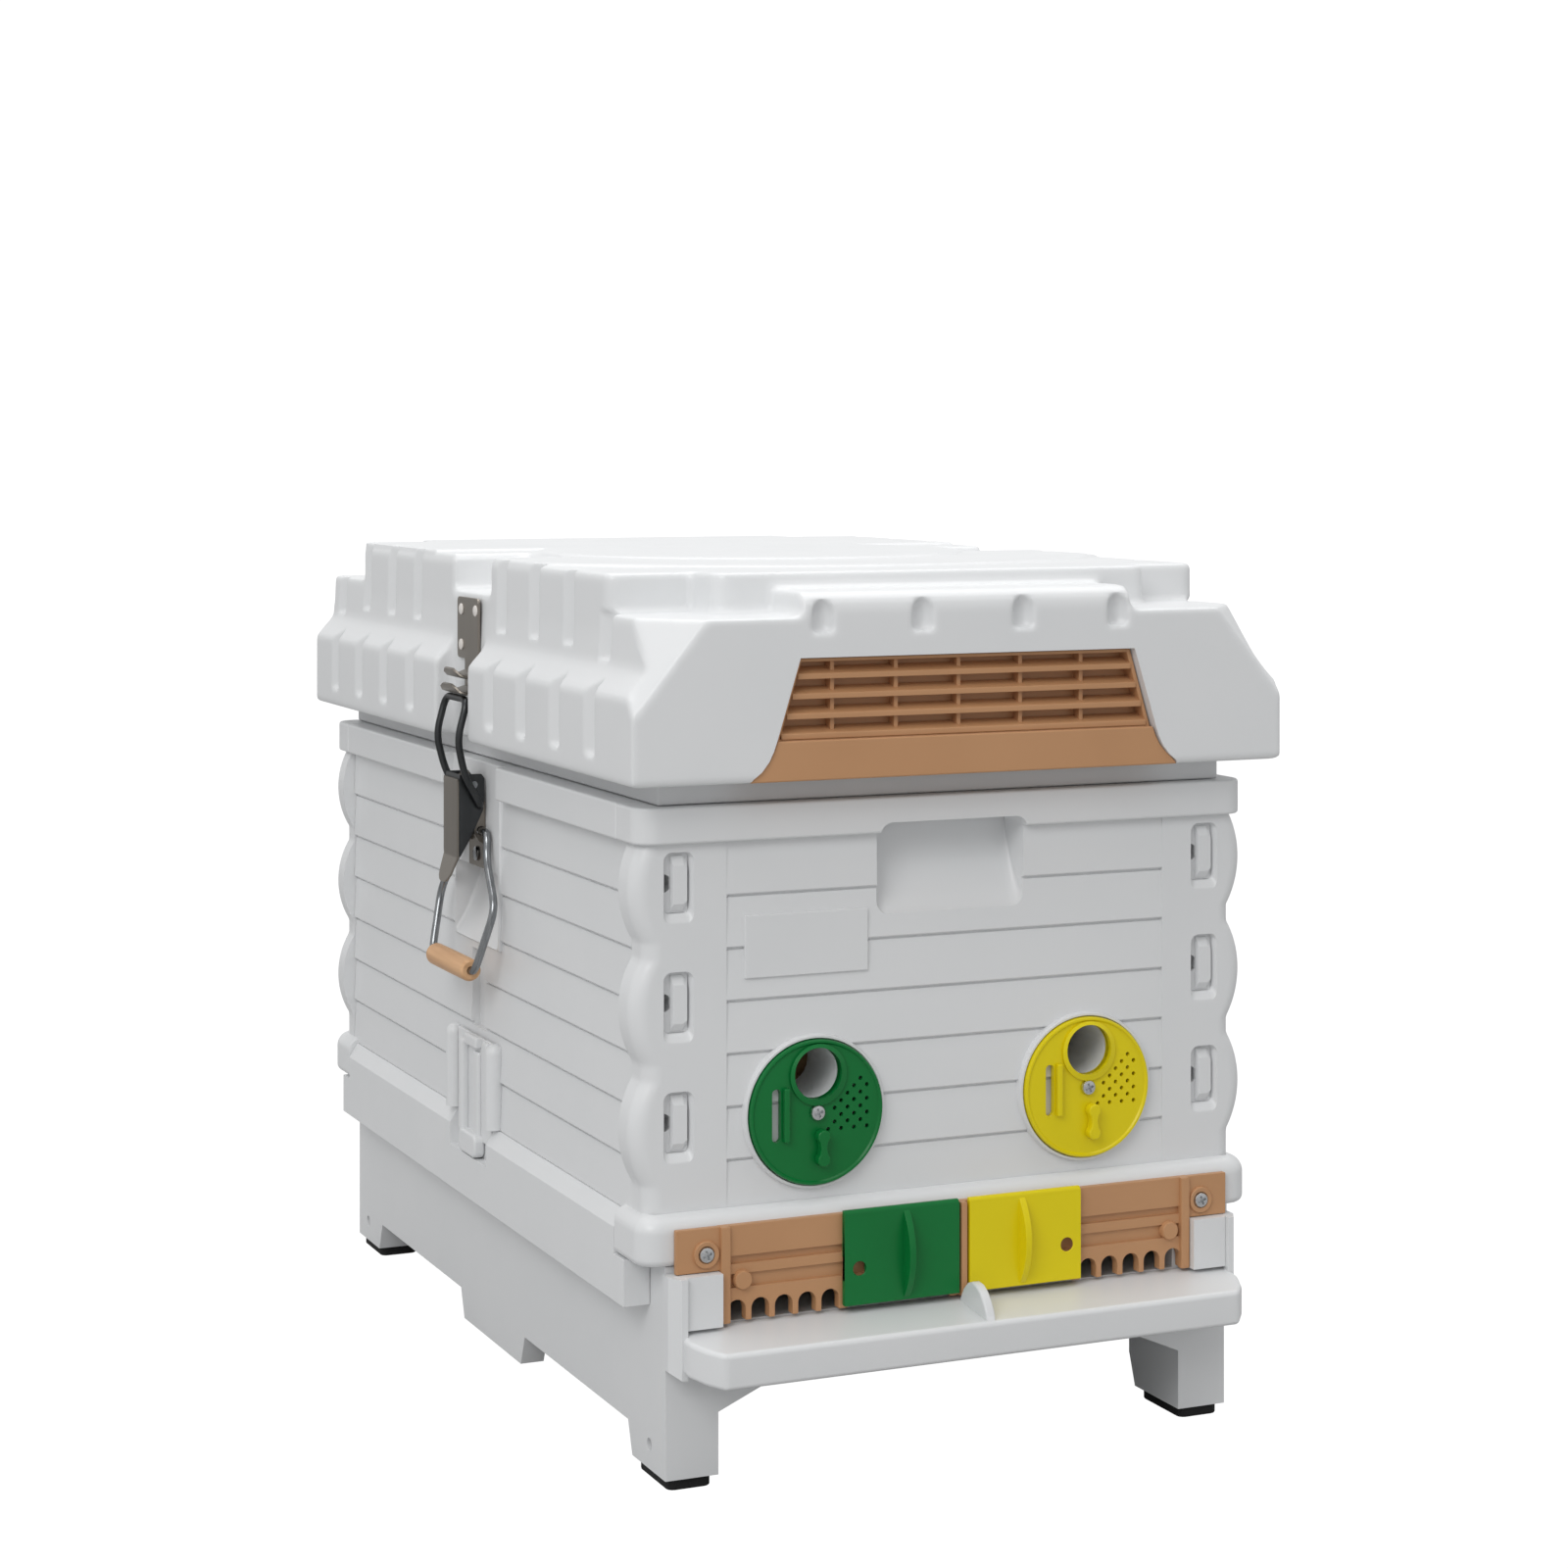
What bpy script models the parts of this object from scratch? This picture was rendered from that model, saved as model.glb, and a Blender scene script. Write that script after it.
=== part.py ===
"""Plastic beehive: legged base, brood box, roof, latches and a double entrance.

Design coordinates are millimetres: x across, y from the front face of the
corner posts towards the rear, z up from the floor.  put() turns them into the
part's own metres, whose origin is the middle of the footprint.
"""
import math

import bmesh
import bpy
from mathutils import Matrix

# ---- driving dimensions (mm) -------------------------------------------------
MM = 0.001
GAP = 0.3                     # play between neighbouring pieces
FRONT_TIP = -47.0             # front edge of the landing board
REAR_TIP = 567.0              # rear face of the roof
Y_MIDDLE = (FRONT_TIP + REAR_TIP) / 2

BOX_LENGTH = 552.0            # brood box, outside of the planks
BOX_HALF = 173.5
WALL = 38.0                   # double-skinned wall thickness
POST_DEPTH = 20.0             # how far a corner post wraps onto the side
TONGUE = 14.0                 # outer leaf of a side wall that laps the end wall
WALL_FOOT = 138.0
RIM_FOOT = 329.0
RIM_TOP = 348.0
RIM_HALF = 179.7
RIM_PROUD = RIM_HALF - BOX_HALF
RIM_SEAM = 26.5               # where the rims of the end and side walls meet
RIM_FRONT = -6.0
RIM_CORNER = 12.0
PLANK = 27.2
PLANK_STEP = 1.2
PLANKED_HALF = 129.0

KEY_X = 155.5                 # middle of a corner window
KEY_HALF = 6.4
KEY_TALL = 29.4
KEY_Z = (186.0, 247.2, 308.4)
BULGE_Z = (181.0, 243.0, 305.0)
BULGE_TALL = 53.0
BULGE_OUT = 7.5

BASE_HALF = 165.0
BASE_FRONT = -5.5
BASE_REAR = 549.0
BASE_TOP = 115.0
BASE_WALL = 14.0
DECK_Z = 84.0
DECK_THICK = 8.0
SKIRT_FOOT = 23.0
LEG_FOOT = 6.0
LEG_X = 29.2
RAIL_FOOT = 91.0
RAIL_TOP = 137.7
RAIL_SEAM = 30.0

PLATE_BACK = -9.3
PLATE_FACE = -12.3
PLATE_FOOT = 84.8
PLATE_EDGE = 138.0
TAB_FOOT = 112.0
PLATE_SCREW = (146.0, 121.5)  # x, z of the screw in each tab
ARCH_PITCH = 13.1
ARCH_FIRST = 76.0
ARCH_COUNT = 5
ARCH_RADIUS = 4.9
COMB_INNER = 68.6
COMB_TOP = 99.0
SLIDER_INNER = 3.0
SLIDER_WIDTH = 66.5
SLIDER_FACE = -16.2
SLIDER_FOOT = 86.5
SLIDER_TALL = 49.5
KNOB_X = 124.5                # the open shutter's hole parks over this knob
KNOB_Z = 107.0
SLIDER_HOLE_X = 62.0
SLIDER_HOLE_RADIUS = 3.8
SLIDER_RELIEF = 5.5           # half the height of the channel behind the hole

DISC_X = 80.0
DISC_Z = 186.2
DISC_RADIUS = 37.7
DISC_FACE = -4.2
PORT_RISE = 20.4
PORT_RADIUS = 13.4

ROOF_HALF = 190.0
ROOF_FRONT = -24.0
ROOF_REAR = REAR_TIP
ROOF_FOOT = 360.5
ROOF_BREAK = 405.0
ROOF_SHOULDER = 418.0
ROOF_LOW_TOP = 444.0
ROOF_TOP = 467.0
UPPER_HALF = 176.0
UPPER_FRONT = 46.0
UPPER_REAR = 500.0
MIDDLE_HALF = 129.0           # the middle of the upper tier reaches further out
MIDDLE_FRONT = 15.0
MIDDLE_REAR = 530.0
COLLAR_HALF = 166.0           # inner cover, whose edge shows under the roof
COLLAR_FRONT = 3.0

PAD_Y = 272.0                 # middle of the latch pads, roof recesses and slide locks
LATCH_Y = 266.0
LEVER_PIVOT = (182.0, 335.0)  # x outwards, z
LOOP_PIVOT = (179.0, 323.0)
HANDLE_PIVOT = (177.0, 308.0)
WIRE = 2.0                    # radius of the latch wire
HANDLE_WIRE = 2.2
GRIP_AT = (190.6, 231.0)
GRIP_RADIUS = 6.5
GRIP_HALF = 34.0
LOOP_HALF = 20.0              # half the width of the wire loop at its top
BAIL_NECK = 23.0              # half the width of the bail at its pivots
BAIL_WIDE = 50.0

FRAME_COUNT = 7
FRAME_PITCH = 35.0
TOP_BAR = 483.0
FRAME_TALL = 232.0
FRAME_TOP = 338.0


# ---- materials ---------------------------------------------------------------
def material(name, colour, roughness, metallic=0.0):
    """A Principled material with plain values."""
    made = bpy.data.materials.new(name)
    made.use_nodes = True
    shader = made.node_tree.nodes["Principled BSDF"]
    shader.inputs["Base Color"].default_value = (*colour, 1.0)
    shader.inputs["Roughness"].default_value = roughness
    shader.inputs["Metallic"].default_value = metallic
    return made


# ---- small tools -------------------------------------------------------------
def put(x, y, z):
    """Design millimetres to the part's metres."""
    return (x * MM, (y - Y_MIDDLE) * MM, z * MM)


def add(name, mesh, look=None, smooth=True):
    """Link a mesh as a named object."""
    made = bpy.data.objects.new(name, mesh)
    bpy.context.scene.collection.objects.link(made)
    if look is not None:
        mesh.materials.append(look)
    if smooth:
        mesh.shade_smooth()
        mesh.set_sharp_from_angle(angle=math.radians(35))
    return made


def mesh_from(name, vertices, faces):
    """A closed mesh whose faces point outwards."""
    mesh = bpy.data.meshes.new(name)
    mesh.from_pydata([put(*vertex) for vertex in vertices], [], faces)
    edit = bmesh.new()
    edit.from_mesh(mesh)
    bmesh.ops.recalc_face_normals(edit, faces=edit.faces)
    edit.to_mesh(mesh)
    edit.free()
    return mesh


def prism(name, outline, axis, low, high, look=None):
    """An outline extruded along x, y or z.

    The outline's pairs are (y, z), (x, z) or (x, y), in that order of axis.
    """
    place = {
        "x": lambda a, b, along: (along, a, b),
        "y": lambda a, b, along: (a, along, b),
        "z": lambda a, b, along: (a, b, along),
    }[axis]
    count = len(outline)
    vertices = [place(a, b, low) for a, b in outline]
    vertices += [place(a, b, high) for a, b in outline]
    faces = [list(range(count)), list(range(2 * count - 1, count - 1, -1))]
    for index in range(count):
        following = (index + 1) % count
        faces.append([index, following, following + count, index + count])
    return add(name, mesh_from(name, vertices, faces), look)


def box(name, x, y, z, look=None):
    """A block between pairs of limits."""
    outline = [(x[0], y[0]), (x[1], y[0]), (x[1], y[1]), (x[0], y[1])]
    return prism(name, outline, "z", z[0], z[1], look)


def arc(centre, radius, start, end, steps):
    """Points of an arc, angles in degrees."""
    points = []
    for step in range(steps + 1):
        angle = math.radians(start + (end - start) * step / steps)
        points.append((centre[0] + radius * math.cos(angle),
                       centre[1] + radius * math.sin(angle)))
    return points


def disc_outline(centre, radius, sides=16):
    """A closed round outline."""
    return arc(centre, radius, 0, 360, sides)[:-1]


def round_box(low, high, radius, steps=3):
    """A rectangle outline with rounded corners."""
    points = []
    for cx, cy, start in ((high[0] - radius, high[1] - radius, 0),
                          (low[0] + radius, high[1] - radius, 90),
                          (low[0] + radius, low[1] + radius, 180),
                          (high[0] - radius, low[1] + radius, 270)):
        points += arc((cx, cy), radius, start, start + 90, steps)
    return points


def combine(target, tool, operation):
    """Boolean with a hidden tool object."""
    tool.hide_render = True
    tool.display_type = "WIRE"
    step = target.modifiers.new(operation.title() + "_" + tool.name, "BOOLEAN")
    step.operation = operation
    step.solver = "EXACT"
    step.object = tool
    return target


def cut(target, *tools):
    """Take tools away from a target."""
    for tool in tools:
        combine(target, tool, "DIFFERENCE")
    return target


def join(target, *tools):
    """Add tools to a target as one body."""
    for tool in tools:
        combine(target, tool, "UNION")
    return target


def carry(name, pivot, pieces):
    """Hang pieces, with their hidden tools, from an empty on a joint axis."""
    empty = bpy.data.objects.new(name, None)
    empty.empty_display_size = 0.02
    empty.location = put(*pivot)
    bpy.context.scene.collection.objects.link(empty)
    undo = Matrix.Translation(empty.location).inverted()
    for piece in pieces:
        tools = [step.object for step in piece.modifiers if step.type == "BOOLEAN"]
        for member in [piece] + tools:
            if member.parent is None:
                member.parent = empty
                member.matrix_parent_inverse = undo
    return empty


def rod(name, points, radius, look, sides=2, cyclic=False):
    """A bent wire along smooth points."""
    curve = bpy.data.curves.new(name, "CURVE")
    curve.dimensions = "3D"
    curve.bevel_depth = radius * MM
    curve.bevel_resolution = sides
    curve.use_fill_caps = True
    spline = curve.splines.new("POLY")
    spline.points.add(len(points) - 1)
    for slot, point in zip(spline.points, points):
        slot.co = (*put(*point), 1.0)
    spline.use_cyclic_u = cyclic
    curve.materials.append(look)
    made = bpy.data.objects.new(name, curve)
    bpy.context.scene.collection.objects.link(made)
    return made


def rounded_path(corners, radius, steps=3):
    """A polyline through corners, each bend drawn as a short curve."""
    points = [corners[0]]
    for before, corner, after in zip(corners, corners[1:], corners[2:]):
        ends = []
        for other in (before, after):
            reach = math.dist(corner, other)
            share = min(radius / reach, 0.45)
            ends.append([c + (o - c) * share for c, o in zip(corner, other)])
        for step in range(steps + 1):
            t = step / steps
            points.append(tuple(
                (1 - t) ** 2 * a + 2 * t * (1 - t) * c + t ** 2 * b
                for a, c, b in zip(ends[0], corner, ends[1])))
    points.append(corners[-1])
    return points


def mirrored(outline, side):
    """An outline whose first coordinate is on the chosen side."""
    return [(side * a, b) for a, b in outline]


def span(side, inner, outer):
    """Limits in x on the chosen side."""
    return (min(side * inner, side * outer), max(side * inner, side * outer))


def turned(y, front):
    """A depth measured from the front, or the same from the rear."""
    return y if front else BOX_LENGTH - y


def depth(front, low, high):
    """Limits in y measured from the front or from the rear."""
    ends = (turned(low, front), turned(high, front))
    return (min(ends), max(ends))


# ---- base --------------------------------------------------------------------
def skirt_outline():
    """Side view (y, z) of the base's long walls with their feet."""
    return [
        (BASE_FRONT, LEG_FOOT), (41.5, LEG_FOOT), (47.7, SKIRT_FOOT),
        (212.5, SKIRT_FOOT), (219.5, LEG_FOOT), (323.4, LEG_FOOT),
        (330.0, SKIRT_FOOT), (495.8, SKIRT_FOOT), (502.8, LEG_FOOT),
        (BASE_REAR, LEG_FOOT), (BASE_REAR, BASE_TOP), (BASE_FRONT, BASE_TOP),
    ]


def make_base(look):
    """The legged stand, one moulding."""
    base = prism("base_stand", skirt_outline(), "x", -BASE_HALF, BASE_HALF, look)
    inner = BASE_HALF - BASE_WALL
    leg_inner = BASE_HALF - LEG_X
    gusset = 28.0
    arch = [(-leg_inner, -5), (leg_inner, -5), (leg_inner, 38.0),
            (leg_inner - gusset, 50.0), (gusset - leg_inner, 50.0), (-leg_inner, 38.0)]
    through = prism("cut_under_stand", arch, "y", BASE_FRONT - 20, BASE_REAR + 20)
    hollow = box("cut_under_deck", (-inner, inner), (48.0, 495.0), (-5, DECK_Z - DECK_THICK))
    above = box("cut_over_deck", (-inner, inner), (8.5, 535.0), (DECK_Z, BASE_TOP + 5))
    mouth = box("cut_entrance", (-132, 132), (BASE_FRONT - 5, 10), (DECK_Z, BASE_TOP + 5))
    window = box("cut_screen_opening", (-134, 134), (40.0, 505.0), (DECK_Z - 30, DECK_Z + 5))
    rebate = box("cut_screen_rebate", (-142, 142), (32.0, 513.0), (DECK_Z - 2.2, DECK_Z + 5))
    slot = box("cut_tray_slot", (-139, 139), (30.0, BASE_REAR + 5), (66.0, DECK_Z - DECK_THICK + 2))
    return cut(base, through, hollow, above, mouth, window, rebate, slot)


def make_posts(look):
    """The two uprights beside the entrance."""
    for side, word in ((-1, "left"), (1, "right")):
        inner = PLATE_EDGE + GAP
        outline = [(inner, -18.0), (158.0, -18.0), (163.0, -13.0),
                   (163.0, BASE_FRONT - GAP), (inner, BASE_FRONT - GAP)]
        prism("entrance_post_" + word, mirrored(outline, side), "z",
              DECK_Z + 0.8, TAB_FOOT - GAP, look)


def make_feet(look):
    """Rubber pads under the four legs."""
    inset = 2.6
    for side, word in ((-1, "left"), (1, "right")):
        for end, y_low, y_high in (("front", BASE_FRONT, 41.5), ("rear", 502.8, BASE_REAR)):
            x_low, x_high = span(side, BASE_HALF - LEG_X + inset, BASE_HALF - inset)
            outline = round_box((x_low, y_low + inset), (x_high, y_high - inset), 4)
            prism("foot_" + end + "_" + word, outline, "z", 0, LEG_FOOT - GAP, look)


def make_landing_board(look):
    """The sloping board in front of the entrance, with its dividing fin."""
    rear = BASE_FRONT - GAP
    nose = FRONT_TIP
    top_rear, top_nose, thick = DECK_Z, 79.3, 18.5
    profile = [(rear, top_rear), (nose, top_nose), (nose, top_nose - thick),
               (rear, top_rear - thick)]
    board = prism("landing_board", profile, "x", -161, 161, look)
    for side, word in ((-1, "left"), (1, "right")):
        corner = mirrored([(152.5, nose - 1), (170, nose - 1), (170, -22), (161.2, -22)], side)
        cut(board, prism("cut_board_corner_" + word, corner, "z", 40, 100))
    fin = [(-17.5, 81.0), (-19.5, 92.5), (-27.0, 90.0), (-36.0, 84.0), (-45.0, 79.0)]
    return join(board, prism("add_board_fin", fin, "x", -2.0, 2.0))


def band_plan(front):
    """Plan (x, y) of an end rail with its wrapped corners."""
    face = -9.0
    seam = RAIL_SEAM - GAP
    chamfer = 11.0
    plan = [(-RIM_HALF, seam), (-RIM_HALF, face + chamfer), (chamfer - RIM_HALF, face),
            (RIM_HALF - chamfer, face), (RIM_HALF, face + chamfer), (RIM_HALF, seam)]
    return [(x, turned(y, front)) for x, y in plan]


def make_end_rail(front, look):
    """Rounded rail under an end wall."""
    word = "front" if front else "rear"
    rail = prism(word + "_rail", band_plan(front), "z", BASE_TOP + GAP, 141.0, look)
    bench = [(x, turned(y, front)) for x, y in
             ((-180.5, 31), (-180.5, 20 + GAP), (-BOX_HALF - GAP, 20 + GAP),
              (-BOX_HALF - GAP, -GAP), (BOX_HALF + GAP, -GAP),
              (BOX_HALF + GAP, 20 + GAP), (180.5, 20 + GAP), (180.5, 31))]
    cut(rail, prism("cut_" + word + "_bench", bench, "z", RAIL_TOP, 150))
    slope = 5.0
    edge = [(-20, 141.5), (-9.0 + slope, 141.5), (-9.5, 141.0 - slope), (-20, 141.0 - slope)]
    cut(rail, prism("cut_" + word + "_rail_top", [(turned(y, front), z) for y, z in edge],
                    "x", -190, 190))
    edge = [(-20, 114), (-4.0, 114), (-9.5, 120.0), (-20, 120.0)]
    cut(rail, prism("cut_" + word + "_rail_foot", [(turned(y, front), z) for y, z in edge],
                    "x", -190, 190))
    chamber = box("cut_" + word + "_rail_inside", (-136, 136),
                  depth(front, 8.5, 40), (BASE_TOP - 5, 145))
    return cut(rail, chamber)


def make_side_rail(side, look):
    """Chamfered rail along a long side, with a notch for the slide lock."""
    word = "left" if side < 0 else "right"
    profile = [(BASE_HALF + GAP, RAIL_FOOT), (RIM_HALF, RAIL_FOOT), (RIM_HALF, 129.0),
               (174.5, RAIL_TOP), (137.0, RAIL_TOP), (137.0, BASE_TOP + GAP),
               (BASE_HALF + GAP, BASE_TOP + GAP)]
    rail = prism("side_rail_" + word, mirrored(profile, side), "y",
                 RAIL_SEAM, BOX_LENGTH - RAIL_SEAM, look)
    tail = [(BASE_HALF + GAP, RAIL_FOOT), (RIM_HALF, RAIL_FOOT),
            (RIM_HALF, BASE_TOP), (BASE_HALF + GAP, BASE_TOP)]
    join(rail, prism("add_rail_tail_" + word, mirrored(tail, side), "y",
                     15.6, BOX_LENGTH - 15.6))
    notch = box("cut_lock_notch_" + word, span(side, BOX_HALF + GAP, 190),
                (PAD_Y - 34, PAD_Y + 34), (116.0, 145))
    return cut(rail, notch)


# ---- entrance ----------------------------------------------------------------
def make_entrance_plate(look):
    """Entrance gate with arches, grooves and the two parking knobs."""
    edge = PLATE_EDGE
    screw_x, screw_z = PLATE_SCREW
    right = [(COMB_INNER - GAP, PLATE_FOOT), (COMB_INNER - GAP, COMB_TOP + GAP),
             (edge, COMB_TOP + GAP), (edge, TAB_FOOT), (162, TAB_FOOT), (162, 134.5)]
    outline = right + [(-x, z) for x, z in reversed(right)]
    plate = prism("entrance_plate", outline, "y", PLATE_FACE, PLATE_BACK, look)
    ribs = [box("add_plate_lower", (-135, 135), (PLATE_BACK - 2.8, BASE_FRONT - GAP),
                (COMB_TOP + GAP + 0.2, BASE_TOP - 1))]
    for side, word in ((-1, "left"), (1, "right")):
        ribs.append(box("add_plate_rib_" + word, span(side, 133, edge - 0.2),
                        (-14.4, PLATE_FACE + 1), (COMB_TOP + GAP + 0.2, 134.2)))
        ribs.append(prism("add_knob_" + word, disc_outline((side * KNOB_X, KNOB_Z), 4.6, 12),
                          "y", -14.8, PLATE_FACE + 1))
        ribs.append(prism("add_boss_" + word, disc_outline((side * screw_x, screw_z), 7.0, 14),
                          "y", -13.6, PLATE_FACE + 1))
    ribs.append(box("add_plate_divider", (-1.6, 1.6), (-15.8, PLATE_FACE + 1),
                    (PLATE_FOOT + 0.3, 134.2)))
    join(plate, *ribs)
    cuts = []
    for side, word in ((-1, "left"), (1, "right")):
        cuts.append(box("cut_wide_mouth_" + word, span(side, 7, 66), (-20, 0), (80, 96)))
        cuts.append(box("cut_groove_" + word, span(side, 4, 132), (-16, PLATE_FACE + 1.4),
                        (114.5, 119.0)))
        cuts.append(prism("cut_plate_screw_" + word, disc_outline((side * screw_x, screw_z), 2.2, 10),
                          "y", -20, 0))
    return cut(plate, *cuts)


def make_comb(side, look):
    """Row of bee-sized arches under one half of the entrance plate."""
    word = "left" if side < 0 else "right"
    outline = [(PLATE_EDGE, COMB_TOP), (COMB_INNER, COMB_TOP), (COMB_INNER, PLATE_FOOT)]
    for index in range(ARCH_COUNT):
        centre = ARCH_FIRST + ARCH_PITCH * index
        outline.append((centre - ARCH_RADIUS, PLATE_FOOT))
        outline += arc((centre, 91.5), ARCH_RADIUS, 180, 0, 6)
        outline.append((centre + ARCH_RADIUS, PLATE_FOOT))
    outline.append((PLATE_EDGE, PLATE_FOOT))
    return prism("entrance_comb_" + word, mirrored(outline, side), "y",
                 PLATE_FACE, BASE_FRONT - GAP, look)


def make_slider(side, look, word):
    """Sliding shutter with a bowed finger grip."""
    inner, outer = SLIDER_INNER, SLIDER_INNER + SLIDER_WIDTH
    back = PLATE_FACE - GAP - 0.1
    shutter = box("slider_" + word, span(side, inner, outer), (SLIDER_FACE, back),
                  (SLIDER_FOOT, SLIDER_FOOT + SLIDER_TALL), look)
    grip_x = side * 33.0
    bow = arc((SLIDER_FACE + 28.0, SLIDER_FOOT + SLIDER_TALL / 2), 36.5, 145, 215, 8)
    bow.append((SLIDER_FACE + 1.0, bow[-1][1]))
    bow.append((SLIDER_FACE + 1.0, bow[0][1]))
    join(shutter, prism("add_grip_" + word, bow, "x", grip_x - 1.7, grip_x + 1.7))
    hole = prism("cut_slider_hole_" + word,
                 disc_outline((side * SLIDER_HOLE_X, KNOB_Z), SLIDER_HOLE_RADIUS, 16), "y", -30, 0)
    relief = box("cut_slider_relief_" + word,
                 span(side, SLIDER_HOLE_X - SLIDER_RELIEF, outer + SLIDER_RELIEF),
                 (SLIDER_FACE + 1.0, 0), (KNOB_Z - SLIDER_RELIEF, KNOB_Z + SLIDER_RELIEF))
    return cut(shutter, hole, relief)


def make_screw(name, x, z, head_face, tip, look):
    """Pan-head screw pointing backwards."""
    head = 4.2
    screw = prism(name, disc_outline((x, z), head, 14), "y", head_face - 2.2, head_face, look)
    shank = prism("add_" + name, disc_outline((x, z), 1.8, 10), "y", head_face - 0.5, tip)
    return join(screw, shank)


def make_disc(side, look, word):
    """Round entrance disc: a port, a slot, and a finger tab."""
    x = side * DISC_X
    disc = prism("disc_" + word, disc_outline((x, DISC_Z), DISC_RADIUS, 40),
                 "y", DISC_FACE, -GAP, look)
    lip = prism("add_disc_lip_" + word, disc_outline((x, DISC_Z + PORT_RISE), PORT_RADIUS + 1.6, 24),
                "y", DISC_FACE - 1.4, DISC_FACE + 1)
    tab = box("add_disc_tab_" + word, (x - 0.4, x + 4.4), (DISC_FACE - 7.0, DISC_FACE + 1),
              (DISC_Z - 27, DISC_Z - 10))
    rib = box("add_disc_rib_" + word, (x - 18.6, x - 14.4), (DISC_FACE - 2.4, DISC_FACE + 1),
              (DISC_Z - 13, DISC_Z + 14))
    join(disc, lip, tab, rib)
    port = prism("cut_disc_port_" + word, disc_outline((x, DISC_Z + PORT_RISE), PORT_RADIUS, 24),
                 "y", -20, 5)
    slot = box("cut_disc_slot_" + word, (x - 25.2, x - 19.6), (-20, 5),
               (DISC_Z - 14, DISC_Z + 13))
    pin = prism("cut_disc_pin_" + word, disc_outline((x, DISC_Z), 2.3, 10), "y", -20, 5)
    return cut(disc, port, slot, pin)


# ---- brood box ---------------------------------------------------------------
def plank_lines():
    """Heights of the lap lines, from the foot of the wall up to the rim."""
    return [WALL_FOOT + PLANK * index for index in range(8)]


def plank_edge(face):
    """Outline of lapped planks; each leans in by the lap towards its top."""
    points = []
    lines = plank_lines()
    for low, high in zip(lines, lines[1:]):
        points.append((face, low))
        points.append((face - PLANK_STEP, high))
    return points


def post_outline():
    """Front view (x, z) of an end wall with its scalloped corner bulges."""
    right = [(BOX_HALF, WALL_FOOT)]
    half = BULGE_TALL / 2
    radius = (half ** 2 + BULGE_OUT ** 2) / (2 * BULGE_OUT)
    swing = math.degrees(math.asin(half / radius))
    for centre in BULGE_Z:
        right += arc((BOX_HALF + BULGE_OUT - radius, centre), radius, -swing, swing, 8)
    right.append((BOX_HALF, RIM_FOOT + 5))
    left = [(-x, z) for x, z in reversed(right)]
    return right + left


def rim_plan(front):
    """Plan (x, y) of the rim over an end wall."""
    plan = [(RIM_HALF, RIM_SEAM)]
    plan += arc((RIM_HALF - RIM_CORNER, RIM_FRONT + RIM_CORNER), RIM_CORNER, 0, -90, 4)
    plan += [(-x, y) for x, y in reversed(plan)]
    return [(x, turned(y, front)) for x, y in plan]


def make_end_wall(front, look):
    """Front or rear wall: planks, posts, bulges, rim and hand hold."""
    word = "front" if front else "rear"
    low, high = depth(front, 0, POST_DEPTH)
    wall = prism(word + "_wall", post_outline(), "y", low, high, look)
    leaf = BOX_HALF - TONGUE - GAP
    core = box("add_" + word + "_core", (-leaf, leaf), depth(front, 15, WALL),
               (WALL_FOOT, RIM_TOP))
    rim = prism("add_" + word + "_rim", rim_plan(front), "z", RIM_FOOT, RIM_TOP)
    join(wall, core, rim)
    inside = BOX_HALF - WALL
    rebate = box("cut_" + word + "_rebate", (-inside, inside), depth(front, 26, 60),
                 (FRAME_TOP - 18, RIM_TOP + 5))
    comb = [(turned(BOX_HALF - face, front), z) for face, z in plank_edge(BOX_HALF)]
    comb += [(turned(-9, front), comb[-1][1]), (turned(-9, front), comb[0][1])]
    planks = prism("cut_" + word + "_planks", comb, "x", -PLANKED_HALF, PLANKED_HALF)
    hold = round_box((-43.5, 285.0), (43.5, 334.5), 6)
    scoop = prism("cut_" + word + "_hand_hold", hold, "y", *depth(front, -10, 20))
    cut(wall, planks, rebate, scoop)
    for side, side_word in ((-1, "left"), (1, "right")):
        tag = word + "_" + side_word
        for index, z in enumerate(KEY_Z):
            window = round_box((side * KEY_X - KEY_HALF, z - KEY_TALL / 2),
                               (side * KEY_X + KEY_HALF, z + KEY_TALL / 2), 1.5, 2)
            cut(wall, prism("cut_window_" + tag + str(index), window, "y",
                            *depth(front, -5, 9)))
        channel = box("cut_key_channel_" + tag,
                      (side * KEY_X - KEY_HALF + 0.01, side * KEY_X + KEY_HALF - 0.01),
                      depth(front, 6, 14), (WALL_FOOT - 5, KEY_Z[2] + 18))
        cut(wall, channel)
        if front:
            port = prism("cut_port_" + tag,
                         disc_outline((side * DISC_X, DISC_Z + PORT_RISE), PORT_RADIUS, 20),
                         "y", -10, WALL + 5)
            pin = prism("cut_disc_screw_" + tag, disc_outline((side * DISC_X, DISC_Z), 2.2, 10),
                        "y", -10, 14)
            cut(wall, port, pin)
    return wall


def make_key(front, side, look):
    """Corner key strip whose three tongues fill the windows of a post."""
    word = ("front" if front else "rear") + "_" + ("left" if side < 0 else "right")
    half = KEY_HALF - 2 * GAP
    x = side * KEY_X
    key = box("corner_key_" + word, (x - half, x + half), depth(front, 6 + GAP, 14 - GAP),
              (WALL_FOOT + 2, KEY_Z[2] + 17), look)
    for index, z in enumerate(KEY_Z):
        tall = KEY_TALL / 2 - 1.2
        face, back = 1.4, 7.0
        chamfer = 3.6
        side_view = [(turned(y, front), h) for y, h in
                     ((back, z - tall), (face + chamfer * 0.7, z - tall), (face, z - tall + chamfer),
                      (face, z + tall - chamfer), (face + chamfer * 0.7, z + tall), (back, z + tall))]
        tongue = prism("add_tongue_" + word + str(index), side_view, "x",
                       x - half, x + half - 0.6)
        join(key, tongue)
    return key


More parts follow.
